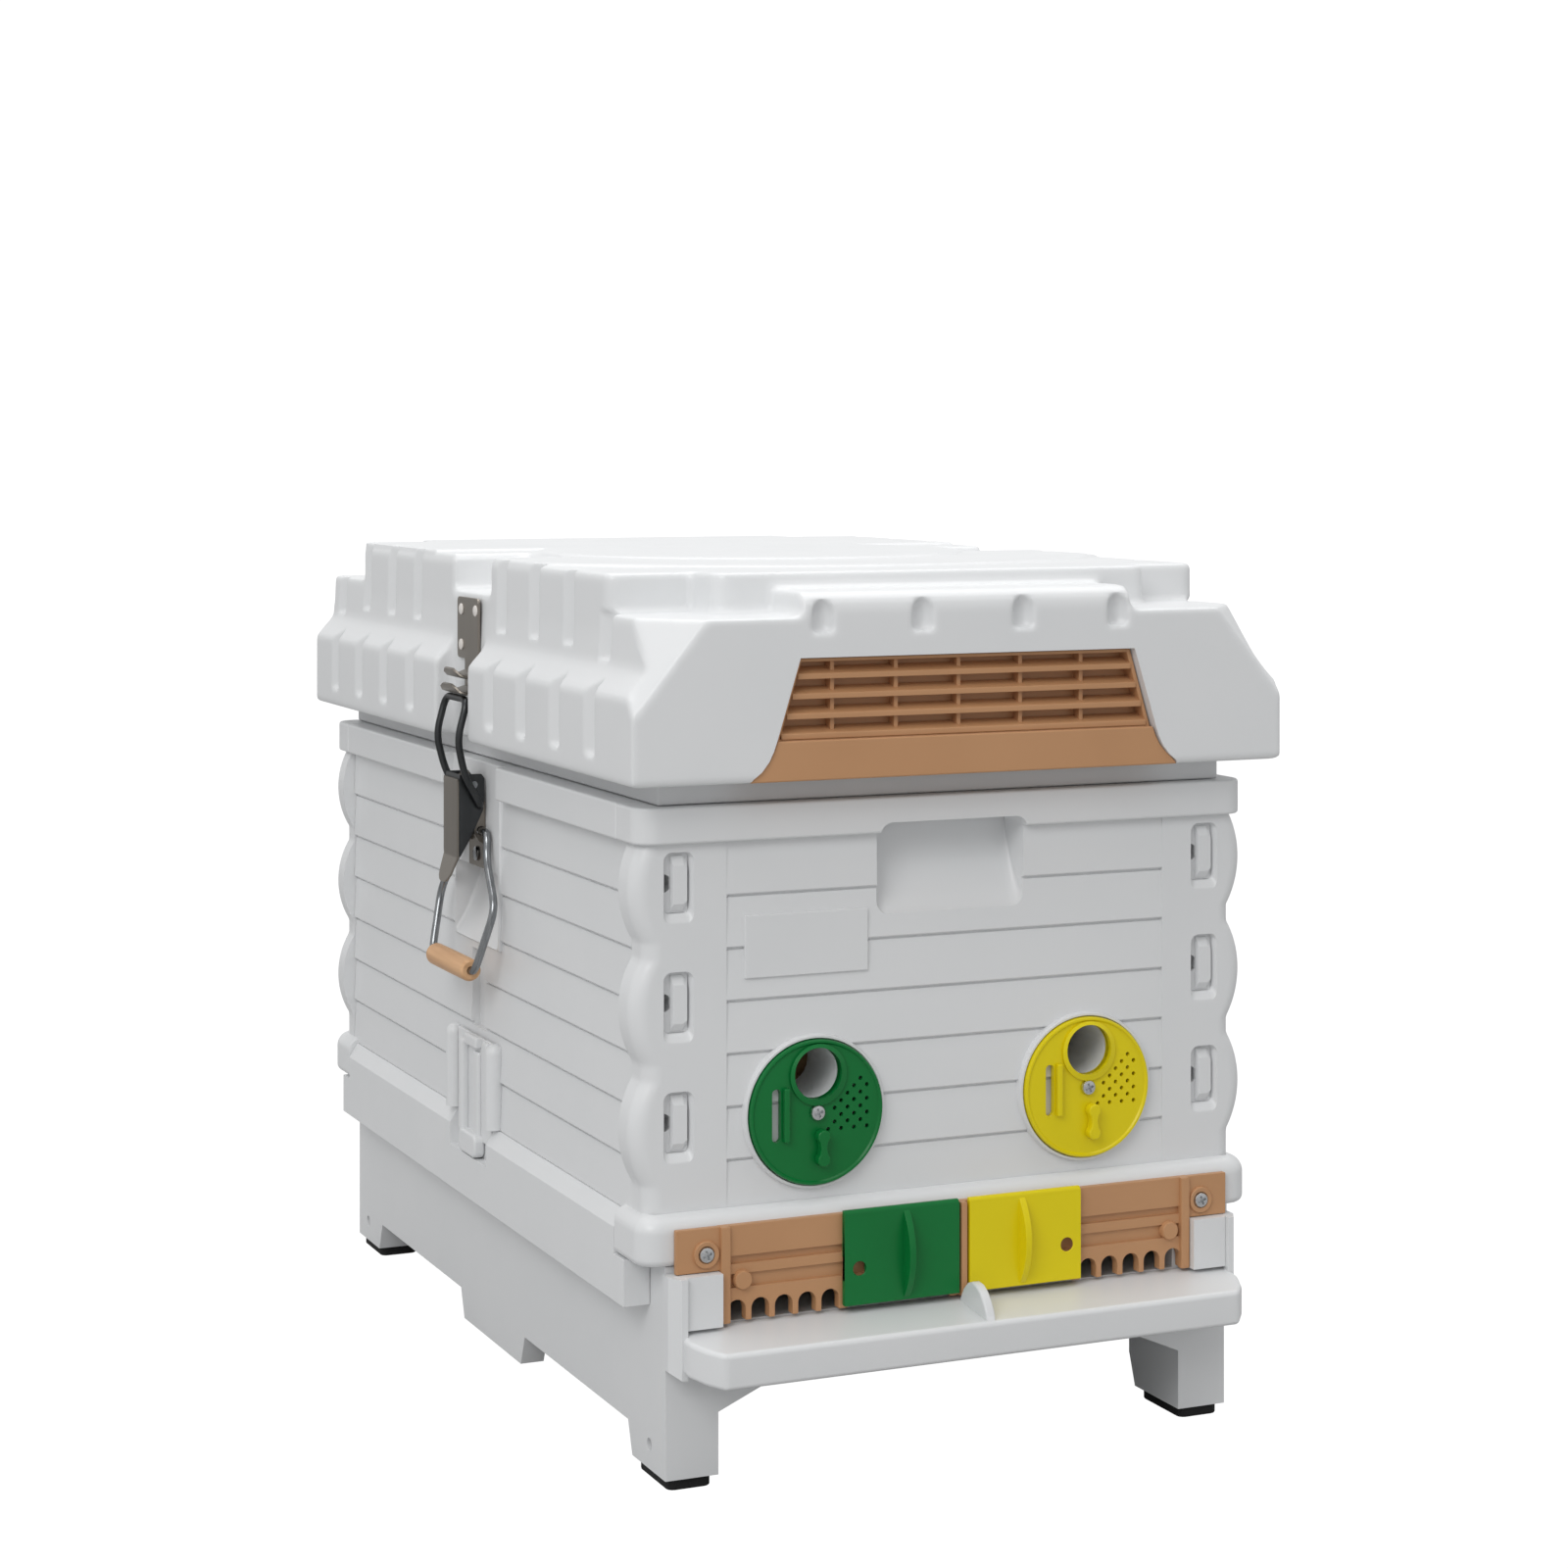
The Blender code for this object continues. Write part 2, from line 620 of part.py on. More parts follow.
def make_side_wall(side, look):
    """Left or right wall with planks, rim, latch pad and finger scoop."""
    word = "left" if side < 0 else "right"
    inside = BOX_HALF - WALL
    profile = plank_edge(BOX_HALF)
    profile += [(BOX_HALF - PLANK_STEP, RIM_TOP), (inside, RIM_TOP), (inside, WALL_FOOT)]
    low, high = POST_DEPTH + GAP, BOX_LENGTH - POST_DEPTH - GAP
    wall = prism("side_wall_" + word, mirrored(profile, side), "y", low, high, look)
    rim = box("add_side_rim_" + word, span(side, BOX_HALF - 8, RIM_HALF),
              (RIM_SEAM + GAP, BOX_LENGTH - RIM_SEAM - GAP), (RIM_FOOT, RIM_TOP))
    pad = box("add_latch_pad_" + word, span(side, BOX_HALF - 8, 174.0),
              (PAD_Y - 42, PAD_Y + 42), (240, RIM_TOP))
    guides = []
    for index, offset in enumerate((-38.5, 38.5)):
        guides.append(box("add_lock_guide_" + word + str(index), span(side, BOX_HALF - 8, 181.0),
                          (PAD_Y + offset - 3.5, PAD_Y + offset + 3.5),
                          (WALL_FOOT + 0.2, 188)))
    join(wall, rim)
    cut(wall, box("cut_rim_notch_" + word, span(side, 174.0 - 0.6, 190),
                  (PAD_Y - 50, PAD_Y + 50), (RIM_FOOT - 3, RIM_TOP + 5)))
    join(wall, pad, *guides)
    scoop = [(180, 239), (180, 283), (156, 283), (156, 274), (173.5, 240)]
    cut(wall, prism("cut_finger_scoop_" + word, mirrored(scoop, side), "y",
                    PAD_Y - 41, PAD_Y + 41))
    for end, front in (("front", True), ("rear", False)):
        cut(wall, box("cut_lap_" + end + "_" + word, span(side, inside - 10, BOX_HALF - TONGUE),
                      depth(front, 0, WALL + GAP), (WALL_FOOT - 5, RIM_TOP + 5)))
        cut(wall, box("cut_rim_lap_" + end + "_" + word, span(side, inside - 10, 190),
                      depth(front, 0, RIM_SEAM + GAP), (RIM_FOOT - GAP, RIM_TOP + 5)))
    return wall


def make_frames(wood):
    """Hanging frames: a top bar with lugs above a wooden frame and its comb."""
    middle = BOX_LENGTH / 2
    for index in range(FRAME_COUNT):
        x = (index - (FRAME_COUNT - 1) / 2) * FRAME_PITCH
        tag = str(index + 1)
        side_view = [
            (middle - TOP_BAR / 2, FRAME_TOP), (middle - TOP_BAR / 2, FRAME_TOP - 10),
            (middle - 224, FRAME_TOP - 10), (middle - 224, FRAME_TOP - FRAME_TALL),
            (middle + 224, FRAME_TOP - FRAME_TALL), (middle + 224, FRAME_TOP - 10),
            (middle + TOP_BAR / 2, FRAME_TOP - 10), (middle + TOP_BAR / 2, FRAME_TOP),
        ]
        bar = prism("frame_" + tag, side_view, "x", x - 12.5, x + 12.5, wood)
        for side, word in ((-1, "a"), (1, "b")):
            cut(bar, box("cut_frame_" + tag + word, (min(x + side * 8, x + side * 20),
                                                     max(x + side * 8, x + side * 20)),
                         (middle - 214, middle + 214), (FRAME_TOP - FRAME_TALL + 14, FRAME_TOP - 19)))


def make_inner_cover(look):
    """Ceiling board whose edge shows as a collar under the roof."""
    cover = box("inner_cover", (-COLLAR_HALF, COLLAR_HALF),
                (COLLAR_FRONT, BOX_LENGTH - COLLAR_FRONT),
                (RIM_TOP + GAP, ROOF_FOOT - GAP), look)
    crown = box("add_cover_crown", (-147, 147), (30, BOX_LENGTH - 30),
                (RIM_TOP + 5, ROOF_FOOT + 6))
    relief = box("cut_cover_relief", (-130, 130), (50, BOX_LENGTH - 50),
                 (RIM_TOP - 5, RIM_TOP + 6))
    return cut(join(cover, crown), relief)


# ---- roof --------------------------------------------------------------------
def roof_profile(top, half_top):
    """End view (x, z) of the roof's outside."""
    return [(-ROOF_HALF, ROOF_FOOT), (ROOF_HALF, ROOF_FOOT), (ROOF_HALF, ROOF_BREAK),
            (178, ROOF_SHOULDER), (half_top, top), (-half_top, top),
            (-178, ROOF_SHOULDER), (-ROOF_HALF, ROOF_BREAK)]


def make_roof(look):
    """The stepped roof shell with its latch recesses and vent mouth."""
    roof = prism("roof_shell", roof_profile(ROOF_LOW_TOP, UPPER_HALF + 1), "y",
                 ROOF_FRONT, ROOF_REAR, look)
    upper = box("add_roof_upper", (-UPPER_HALF, UPPER_HALF), (UPPER_FRONT, UPPER_REAR),
                (ROOF_BREAK, ROOF_TOP))
    middle = box("add_roof_middle", (-MIDDLE_HALF, MIDDLE_HALF), (MIDDLE_FRONT, MIDDLE_REAR),
                 (ROOF_BREAK, ROOF_TOP))
    brow = [(-96, 430), (96, 430), (96, 450), (91, 457), (-91, 457), (-96, 450)]
    join(roof, upper, middle, prism("add_roof_brow", brow, "y", ROOF_FRONT, MIDDLE_FRONT + 5))
    for side, word in ((-1, "left"), (1, "right")):
        facet_front = [
            (side * 144.5, ROOF_FRONT, ROOF_LOW_TOP + 0.5),
            (side * 187.0, ROOF_FRONT, 394.0),
            (side * 178.5, 22.0, ROOF_LOW_TOP + 0.5),
            (side * 200.0, ROOF_FRONT - 20, ROOF_LOW_TOP + 30),
            (side * 215.0, ROOF_FRONT - 20, 380.0),
        ]
        mesh = bpy.data.meshes.new("cut_roof_facet_" + word)
        edit = bmesh.new()
        for corner in facet_front:
            edit.verts.new(put(*corner))
        bmesh.ops.convex_hull(edit, input=edit.verts)
        bmesh.ops.recalc_face_normals(edit, faces=edit.faces)
        edit.to_mesh(mesh)
        edit.free()
        cut(roof, add("cut_roof_facet_" + word, mesh))
        recess = [(PAD_Y - 30, ROOF_FOOT - 5), (PAD_Y + 30, ROOF_FOOT - 5),
                  (PAD_Y + 30, 440), (PAD_Y + 36, 470), (PAD_Y - 36, 470),
                  (PAD_Y - 30, 440)]
        cut(roof, prism("cut_latch_recess_" + word, recess, "x", *span(side, 178.5, 200)))
        dip = [(130, 470), (130, ROOF_TOP), (150, 445), (185, 445), (185, 470)]
        cut(roof, prism("cut_roof_dip_" + word, mirrored(dip, side), "y",
                        PAD_Y - 34, PAD_Y + 34))
    lower = box("cut_roof_lower", (-150, 150), (28, 540), (ROOF_FOOT - 5, 368))
    wide = box("cut_roof_wide", (-170, 170), (-8, 555), (367.5, 401))
    high = box("cut_roof_high", (-165, 165), (10, 545), (400.5, 436))
    crown = box("cut_roof_crown", (-124, 124), (58, 490), (435.5, 459))
    cut(roof, lower, wide, high, crown)
    mouth = [(-125.4, ROOF_FOOT - 1), (125.4, ROOF_FOOT - 1), (118, 368), (111.0, 381.0),
             (98.0, 423.5), (-98.0, 423.5), (-111.0, 381.0), (-118, 368)]
    return cut(roof, prism("cut_vent_mouth", mouth, "y", ROOF_FRONT - 5, 5))


def make_vent(look):
    """Vent insert: sill below, slatted grille above."""
    outline = [(-123.6, ROOF_FOOT + 0.2), (123.6, ROOF_FOOT + 0.2), (117.4, 368.3),
               (110.5, 381.0), (97.5, 423.0), (-97.5, 423.0), (-110.5, 381.0), (-117.4, 368.3)]
    vent = prism("roof_vent", outline, "y", ROOF_FRONT + 2.5, -10.5, look)
    slats = 4
    pitch = 10.2
    for index in range(slats):
        low = 383.5 + pitch * index
        half = 105.5 - (low - 383.5) * 0.31
        slot = [(-half, low), (half, low), (half - 2.0, low + pitch - 3.4),
                (2.0 - half, low + pitch - 3.4)]
        cut(vent, prism("cut_vent_slot" + str(index), slot, "y", ROOF_FRONT - 5, ROOF_FRONT + 9))
    for index in range(5):
        x = -73.0 + 36.5 * index
        join(vent, box("add_vent_post" + str(index), (x - 1.2, x + 1.2),
                       (ROOF_FRONT + 5.0, ROOF_FRONT + 10), (382.0, 422.0)))
    return vent


# ---- latches -----------------------------------------------------------------
def make_hook(side, look):
    """Roof hook plate with its curled lips."""
    word = "left" if side < 0 else "right"
    half, neck = 22, 9
    face = [(LATCH_Y - half, 443), (LATCH_Y - half, 410), (LATCH_Y - half + 3, 407),
            (LATCH_Y - neck, 407), (LATCH_Y - neck, 392), (LATCH_Y + neck, 392),
            (LATCH_Y + neck, 407), (LATCH_Y + half - 3, 407), (LATCH_Y + half, 410),
            (LATCH_Y + half, 443)]
    plate = prism("hook_plate_" + word, face, "x", *span(side, 178.5 + GAP, 180.6), look)
    curl = [(179.0, 399.5), (179.0, 397.5), (185, 395.2), (191.5, 397.2), (193.4, 401.0),
            (191.4, 401.6), (189.5, 399.4), (185, 397.6)]
    lip = [(179.0, 393.0), (179.0, 391.0), (186, 388.4), (192.0, 389.8), (194.0, 393.4),
           (192.2, 394.0), (190.2, 391.8), (186, 390.6)]
    join(plate, prism("add_hook_curl_" + word, mirrored(curl, side), "y", LATCH_Y - 13, LATCH_Y + 13))
    return join(plate, prism("add_hook_lip_" + word, mirrored(lip, side), "y",
                             LATCH_Y - 15, LATCH_Y + 15))


def make_bracket(side, look):
    """Latch bracket: a screwed plate with two pivot ears."""
    word = "left" if side < 0 else "right"
    plate = box("latch_bracket_" + word, span(side, 174.0 + GAP, 175.8),
                (LATCH_Y - 11.0, LATCH_Y + 11.0), (286.0, 346.0), look)
    join(plate, box("add_bracket_foot_" + word, span(side, 174.0 + GAP, 175.8),
                    (LATCH_Y - 15.0, LATCH_Y + 15.0), (286.0, 303.0)))
    px, pz = LEVER_PIVOT
    hx, hz = HANDLE_PIVOT
    ear = [(175, 300), (178, 301.5), (181.0, 306.0), (181.0, 311.5), (180.4, 322.0)]
    ear += arc((px, pz), 5.0, -60, 110, 6)
    ear.append((175, 342))
    for index, offset in enumerate((-11.0, 9.2)):
        join(plate, prism("add_ear_" + word + str(index), mirrored(ear, side), "y",
                          LATCH_Y + offset, LATCH_Y + offset + 1.8))
    handle_hole = prism("cut_handle_hole_" + word, disc_outline((side * hx, hz), 2.6, 12),
                        "y", LATCH_Y - 20, LATCH_Y + 20)
    return cut(plate, handle_hole)


def make_lever(side, look):
    """Over-centre lever: outer plate, wedge-shaped cheeks and a bent tip."""
    word = "left" if side < 0 else "right"
    px, pz = LEVER_PIVOT
    cheek = [(190.0, 293.0), (191.6, 293.0), (191.6, 337.0), (188.0, 341.0)]
    cheek += arc((px, pz), 6.6, 70, 160, 4)
    cheek += [(176.5, 330.0), (176.8, 322.0)]
    side_view = mirrored(cheek, side)
    lever = prism("latch_lever_" + word, side_view, "y", LATCH_Y - 13.0, LATCH_Y + 13.0, look)
    inside = [(190.1, 270.0), (190.1, 345.0), (170, 345.0), (170, 270.0)]
    cut(lever, prism("cut_lever_channel_" + word, mirrored(inside, side), "y",
                     LATCH_Y - 11.4, LATCH_Y + 11.4))
    tip = [(190.2, 296.0), (190.2, 293.0), (195.2, 279.0), (196.4, 279.5), (191.6, 293.6),
           (191.6, 296.0)]
    join(lever, prism("add_lever_tip_" + word, mirrored(tip, side), "y", LATCH_Y - 9, LATCH_Y + 9))
    lx, lz = LOOP_PIVOT
    hole = prism("cut_loop_hole_" + word, disc_outline((side * lx, lz), 2.4, 12), "y",
                 LATCH_Y - 20, LATCH_Y + 20)
    return cut(lever, hole)


def make_loop(side, look):
    """Wire loop between the lever and the roof hook."""
    word = "left" if side < 0 else "right"
    lx, lz = LOOP_PIVOT
    half = [(lx, 11.8, lz), (lx, 16.0, lz), (189.4, 18.4, 341.0), (194.4, LOOP_HALF, 362.0),
            (188.4, LOOP_HALF, 384.0)]
    corners = [(side * x, LATCH_Y - y, z) for x, y, z in half]
    corners += [(side * x, LATCH_Y + y, z) for x, y, z in reversed(half)]
    return rod("latch_loop_" + word, rounded_path(corners, 9.0), WIRE, look)


def make_handle(side, wire, wood):
    """Carrying bail and its wooden grip."""
    word = "left" if side < 0 else "right"
    hx, hz = HANDLE_PIVOT
    gx, gz = GRIP_AT
    half = [(hx, 10.2, hz), (hx, BAIL_NECK, hz), (178.4, BAIL_NECK + 2, 293.0),
            (181.6, BAIL_WIDE, 268.0), (gx, GRIP_HALF + 6, gz), (gx, GRIP_HALF - 4, gz)]
    arms = []
    for sign in (-1, 1):
        arm = [(side * x, LATCH_Y + sign * y, z) for x, y, z in half]
        arms.append(rounded_path(arm, 8.0))
    path = arms[0] + list(reversed(arms[1]))
    bail = rod("handle_wire_" + word, path, HANDLE_WIRE, wire)
    grip = prism("handle_grip_" + word, disc_outline((side * gx, gz), GRIP_RADIUS, 16), "y",
                 LATCH_Y - GRIP_HALF, LATCH_Y + GRIP_HALF, wood)
    bore = prism("cut_grip_bore_" + word, disc_outline((side * gx, gz), HANDLE_WIRE + 0.35, 12),
                 "y", LATCH_Y - 60, LATCH_Y + 60)
    return bail, cut(grip, bore)


def make_slide_lock(side, look):
    """Slide that ties the brood box to the base."""
    word = "left" if side < 0 else "right"
    lock = box("slide_lock_" + word, span(side, BOX_HALF + 0.4, 176.6),
               (PAD_Y - 33.4, PAD_Y + 33.4), (117.0, 187.0), look)
    rib = box("add_lock_rib_" + word, span(side, 176, 179.0),
              (PAD_Y - 2.5, PAD_Y + 2.5), (121.0, 183.0))
    tab = box("add_lock_tab_" + word, span(side, 176, 181.0),
              (PAD_Y - 13, PAD_Y + 13), (118.0, 126.0))
    return join(lock, rib, tab)


# ---- floor -------------------------------------------------------------------
def make_floor(steel, look):
    """Screen sheet over the deck opening, and the pull-out tray below."""
    box("floor_screen", (-141.5, 141.5), (32.5, 512.5), (DECK_Z - 1.9, DECK_Z - 0.7), steel)
    tray = box("pull_out_tray", (-138, 138), (34.0, BASE_REAR - 1), (66.6, 75.0), look)
    dish = box("cut_tray_dish", (-134, 134), (38.0, BASE_REAR - 8), (68.6, 80))
    pull = box("add_tray_pull", (-40, 40), (BASE_REAR - 2, 560.0), (67.0, 74.5))
    return join(cut(tray, dish), pull)


def main():
    """Build every piece and hang the moving ones on their joints."""
    for old in list(bpy.data.objects):
        bpy.data.objects.remove(old, do_unlink=True)
    white = material("white_plastic", (0.80, 0.81, 0.82), 0.38)
    tan = material("tan_plastic", (0.47, 0.25, 0.11), 0.45)
    green = material("green_plastic", (0.01, 0.16, 0.05), 0.35)
    yellow = material("yellow_plastic", (0.57, 0.47, 0.02), 0.35)
    steel = material("stainless_steel", (0.26, 0.23, 0.20), 0.35, 1.0)
    dark = material("dark_steel", (0.10, 0.11, 0.11), 0.4, 1.0)
    pine = material("pine", (0.62, 0.40, 0.22), 0.6)
    beech = material("beech", (0.68, 0.40, 0.20), 0.5)
    rubber = material("black_rubber", (0.01, 0.01, 0.01), 0.8)
    zinc = material("zinc_screw", (0.55, 0.56, 0.57), 0.3, 1.0)
    make_base(white)
    make_posts(white)
    make_feet(rubber)
    make_landing_board(white)
    make_entrance_plate(tan)
    tray = make_floor(steel, white)
    carry("tray_axis", (0, BASE_REAR, 70.8), [tray])
    for front in (True, False):
        make_end_rail(front, white)
        make_end_wall(front, white)
        for side in (-1, 1):
            make_key(front, side, white)
    make_frames(pine)
    make_inner_cover(white)
    hooks = []
    for side, word, colour in ((-1, "left", green), (1, "right", yellow)):
        make_comb(side, tan)
        make_side_rail(side, white)
        make_side_wall(side, white)
        make_bracket(side, steel)
        make_screw("entrance_screw_" + word, side * PLATE_SCREW[0], PLATE_SCREW[1],
                   -13.6 - GAP, -9.8, zinc)
        make_screw("disc_screw_" + word, side * DISC_X, DISC_Z, DISC_FACE - GAP, 12.0, zinc)
        hooks.append(make_hook(side, steel))
        carry("slider_axis_" + word, (side * 36.0, SLIDER_FACE, 112.0),
              [make_slider(side, colour, word)])
        carry("disc_axis_" + word, (side * DISC_X, DISC_FACE, DISC_Z),
              [make_disc(side, colour, word)])
        carry("slide_lock_axis_" + word, (side * 175.0, PAD_Y, 150.0),
              [make_slide_lock(side, white)])
        carry("handle_axis_" + word, (side * HANDLE_PIVOT[0], LATCH_Y, HANDLE_PIVOT[1]),
              list(make_handle(side, dark, beech)))
        lever_axis = carry("lever_axis_" + word,
                           (side * LEVER_PIVOT[0], LATCH_Y, LEVER_PIVOT[1]),
                           [make_lever(side, dark)])
        loop_axis = carry("loop_axis_" + word,
                          (side * LOOP_PIVOT[0], LATCH_Y, LOOP_PIVOT[1]),
                          [make_loop(side, dark)])
        loop_axis.parent = lever_axis
        loop_axis.matrix_parent_inverse = Matrix.Translation(lever_axis.location).inverted()
    carry("roof_axis", (0, PAD_Y, ROOF_FOOT), [make_roof(white), make_vent(tan)] + hooks)


main()
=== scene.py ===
"""Looks of the plastic beehive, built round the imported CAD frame.

Design coordinates are the CAD source's millimetres: x across, y from the front
face of the corner posts towards the rear, z up from the floor.
"""
import math

import bmesh
import bpy
from mathutils import Matrix, Vector


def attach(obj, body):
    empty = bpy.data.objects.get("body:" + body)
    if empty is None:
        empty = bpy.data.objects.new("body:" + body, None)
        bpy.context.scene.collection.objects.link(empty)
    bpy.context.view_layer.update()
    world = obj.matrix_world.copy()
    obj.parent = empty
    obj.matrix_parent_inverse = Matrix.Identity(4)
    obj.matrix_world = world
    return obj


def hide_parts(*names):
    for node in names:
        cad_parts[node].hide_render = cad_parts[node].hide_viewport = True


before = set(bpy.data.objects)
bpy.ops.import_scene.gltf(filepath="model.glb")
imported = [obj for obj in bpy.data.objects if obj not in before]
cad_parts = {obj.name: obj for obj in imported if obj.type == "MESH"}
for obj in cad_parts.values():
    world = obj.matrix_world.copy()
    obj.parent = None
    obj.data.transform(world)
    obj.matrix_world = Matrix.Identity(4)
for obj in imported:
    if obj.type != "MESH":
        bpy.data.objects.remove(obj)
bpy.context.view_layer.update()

MM = 0.001
Y_MIDDLE = 260.0
SIDES = ((-1, "left"), (1, "right"))

# roof
ROOF_HALF = 190.0
ROOF_FRONT = -24.0
ROOF_REAR = 567.0
ROOF_DECK = 444.4
LOW_GROOVES_Y = (40, 94, 149, 204, 356, 412, 466, 521)
HIGH_GROOVES_Y = (48, 105, 161, 217, 378, 433, 488, 545)
NOTCHES_X = (-85, -28, 31, 88)

# brood box
BOX_LENGTH = 552.0
BOX_HALF = 173.5
POST_INNER = 129.0
POST_DEPTH = 38.0
CORE_HALF = 159.2
PLANK = 27.2
WALL_FOOT = 138.0
RIM_FOOT = 329.0
RIM_TOP = 348.0
RIM_HALF = 179.7
KEY_X = 155.5
KEY_Z = (186.0, 247.2, 308.4)
BULGE_Z = (181.0, 243.0, 305.0)
HOLD_HALF = 43.5
HOLD_TOP = 334.5
DISC_X = 80.0
DISC_Z = 186.2
PORT_RISE = 20.4
PORT_RADIUS = 13.4

# middle of the latch panel, the latch in front of it, and its pivots as (x, z)
PAD_Y = 272.0
PAD_HALF = 42.0
LATCH_Y = 266.0
LEVER_PIVOT = (182.0, 335.0)
LOOP_PIVOT = (179.0, 323.0)
BAIL_PIVOT = (177.0, 308.0)
GRIP_AT = (190.6, 231.0)
GRIP_HALF = 34.0

# base
BOARD_BACK = 5.9
BOARD_SLOPE = 0.115
BOARD_THICK = 18.5
GATE_SCREW = (145.5, 121.0)
GATE_EDGE = 137.8
ARCH_PITCH = 13.1
ARCH_HALF = 4.9


# ---- mesh tools --------------------------------------------------------------
def put(x, y, z):
    """Design millimetres to scene metres."""
    return Vector((x * MM, (y - Y_MIDDLE) * MM, z * MM))


def add(name, mesh):
    """A new object in the scene."""
    made = bpy.data.objects.new(name, mesh)
    bpy.context.scene.collection.objects.link(made)
    return made


def outward(mesh, weld=0.0, flatten=0.0):
    """Turn faces outwards, after welding close points and joining flat faces if asked."""
    edit = bmesh.new()
    edit.from_mesh(mesh)
    if weld:
        bmesh.ops.remove_doubles(edit, verts=edit.verts, dist=weld)
    if flatten:
        bmesh.ops.dissolve_limit(edit, angle_limit=math.radians(flatten), verts=edit.verts,
                                 edges=edit.edges, use_dissolve_boundaries=False)
    bmesh.ops.recalc_face_normals(edit, faces=edit.faces)
    edit.to_mesh(mesh)
    edit.free()
    return mesh


def mesh_from(name, vertices, faces):
    """A mesh from design coordinates with its faces turned outwards."""
    mesh = bpy.data.meshes.new(name)
    mesh.from_pydata([put(*vertex) for vertex in vertices], [], faces)
    return outward(mesh)


def loft(name, rings, closed=False):
    """Rings of equal length joined in order, capped unless closed on itself."""
    count = len(rings[0])
    vertices = [point for ring in rings for point in ring]
    faces = []
    spans = len(rings) if closed else len(rings) - 1
    for row in range(spans):
        here, there = row * count, ((row + 1) % len(rings)) * count
        for index in range(count):
            following = (index + 1) % count
            faces.append((here + index, here + following, there + following, there + index))
    if not closed:
        faces.append(tuple(range(count)))
        faces.append(tuple(range(len(vertices) - 1, len(vertices) - count - 1, -1)))
    return add(name, mesh_from(name, vertices, faces))


PLACE = {
    "x": lambda a, b, along: (along, a, b),
    "y": lambda a, b, along: (a, along, b),
    "z": lambda a, b, along: (a, b, along),
}


def prism(name, outline, axis, low, high):
    """An outline of (y, z), (x, z) or (x, y) pairs extruded along x, y or z."""
    place = PLACE[axis]
    return loft(name, [[place(a, b, along) for a, b in outline] for along in (low, high)])


def box(name, x, y, z):
    """A block from its (low, high) spans."""
    outline = [(x[0], y[0]), (x[1], y[0]), (x[1], y[1]), (x[0], y[1])]
    return prism(name, outline, "z", z[0], z[1])


def arc(centre, radius, start, end, steps):
    """Points of an arc, angles in degrees."""
    points = []
    for step in range(steps + 1):
        angle = math.radians(start + (end - start) * step / steps)
        points.append((centre[0] + radius * math.cos(angle),
                       centre[1] + radius * math.sin(angle)))
    return points


def circle(centre, radius, sides=32):
    """A round outline."""
    return arc(centre, radius, 0, 360, sides)[:-1]


def round_box(low, high, radius, steps=5):
    """A rectangle outline with rounded corners."""
    points = []
    for cx, cy, start in ((high[0] - radius, high[1] - radius, 0),
                          (low[0] + radius, high[1] - radius, 90),
                          (low[0] + radius, low[1] + radius, 180),
                          (high[0] - radius, low[1] + radius, 270)):
        points += arc((cx, cy), radius, start, start + 90, steps)
    return points


def turn_profile(name, profile, centre, axis="y", sides=48):
    """A closed profile of (radius, along) pairs turned about an axis through centre."""
    place = PLACE[axis]
    rings = []
    for step in range(sides):
        angle = 2 * math.pi * step / sides
        c, s = math.cos(angle), math.sin(angle)
        rings.append([place(centre[0] + r * c, centre[1] + r * s, along)
                      for r, along in profile])
    made = loft(name, rings, closed=True)
    outward(made.data, weld=1e-7)
    return made


def tube(name, points, radius, sides=14):
    """A round wire along points, capped flat at both ends."""
    points = [Vector(point) for point in points]
    rings = []
    side = None
    for index, point in enumerate(points):
        ahead = points[min(index + 1, len(points) - 1)]
        behind = points[max(index - 1, 0)]
        along = (ahead - behind).normalized()
        if side is None:
            side = along.orthogonal().normalized()
        side = (side - along * side.dot(along)).normalized()
        other = along.cross(side)
        rings.append([tuple(point + (side * math.cos(t) + other * math.sin(t)) * radius)
                      for t in (2 * math.pi * k / sides for k in range(sides))])
    return loft(name, rings)


def rounded_path(corners, radius, steps=6):
    """A polyline whose bends are short curves, cut into short pieces."""
    points = [Vector(corners[0])]
    for before, corner, after in zip(corners, corners[1:], corners[2:]):
        corner = Vector(corner)
        ends = []
        for other in (Vector(before), Vector(after)):
            share = min(radius / (other - corner).length, 0.49)
            ends.append(corner.lerp(other, share))
        for step in range(steps + 1):
            t = step / steps
            points.append(ends[0] * (1 - t) ** 2 + corner * 2 * t * (1 - t) + ends[1] * t ** 2)
    points.append(Vector(corners[-1]))
    return points


def heading(path, index):
    """Unit direction of a flat path at one of its points."""
    ahead = path[min(index + 1, len(path) - 1)]
    behind = path[max(index - 1, 0)]
    da, db = ahead[0] - behind[0], ahead[1] - behind[1]
    reach = math.hypot(da, db)
    return da / reach, db / reach


def settle(piece):
    """Apply every modifier of a piece."""
    graph = bpy.context.evaluated_depsgraph_get()
    mesh = bpy.data.meshes.new_from_object(piece.evaluated_get(graph), depsgraph=graph)
    piece.modifiers.clear()
    piece.data = mesh
    return piece


def combine(target, tools, operation):
    """Booleans, applied at once; the tools are removed."""
    for tool in tools:
        step = target.modifiers.new("step", "BOOLEAN")
        step.operation = operation
        step.solver = "EXACT"
        step.object = tool
    settle(target)
    for tool in tools:
        bpy.data.objects.remove(tool, do_unlink=True)
    return target


def cut(target, *tools):
    """Take solids away from a piece."""
    return combine(target, tools, "DIFFERENCE")


def join(target, *tools):
    """Add solids to a piece."""
    return combine(target, tools, "UNION")


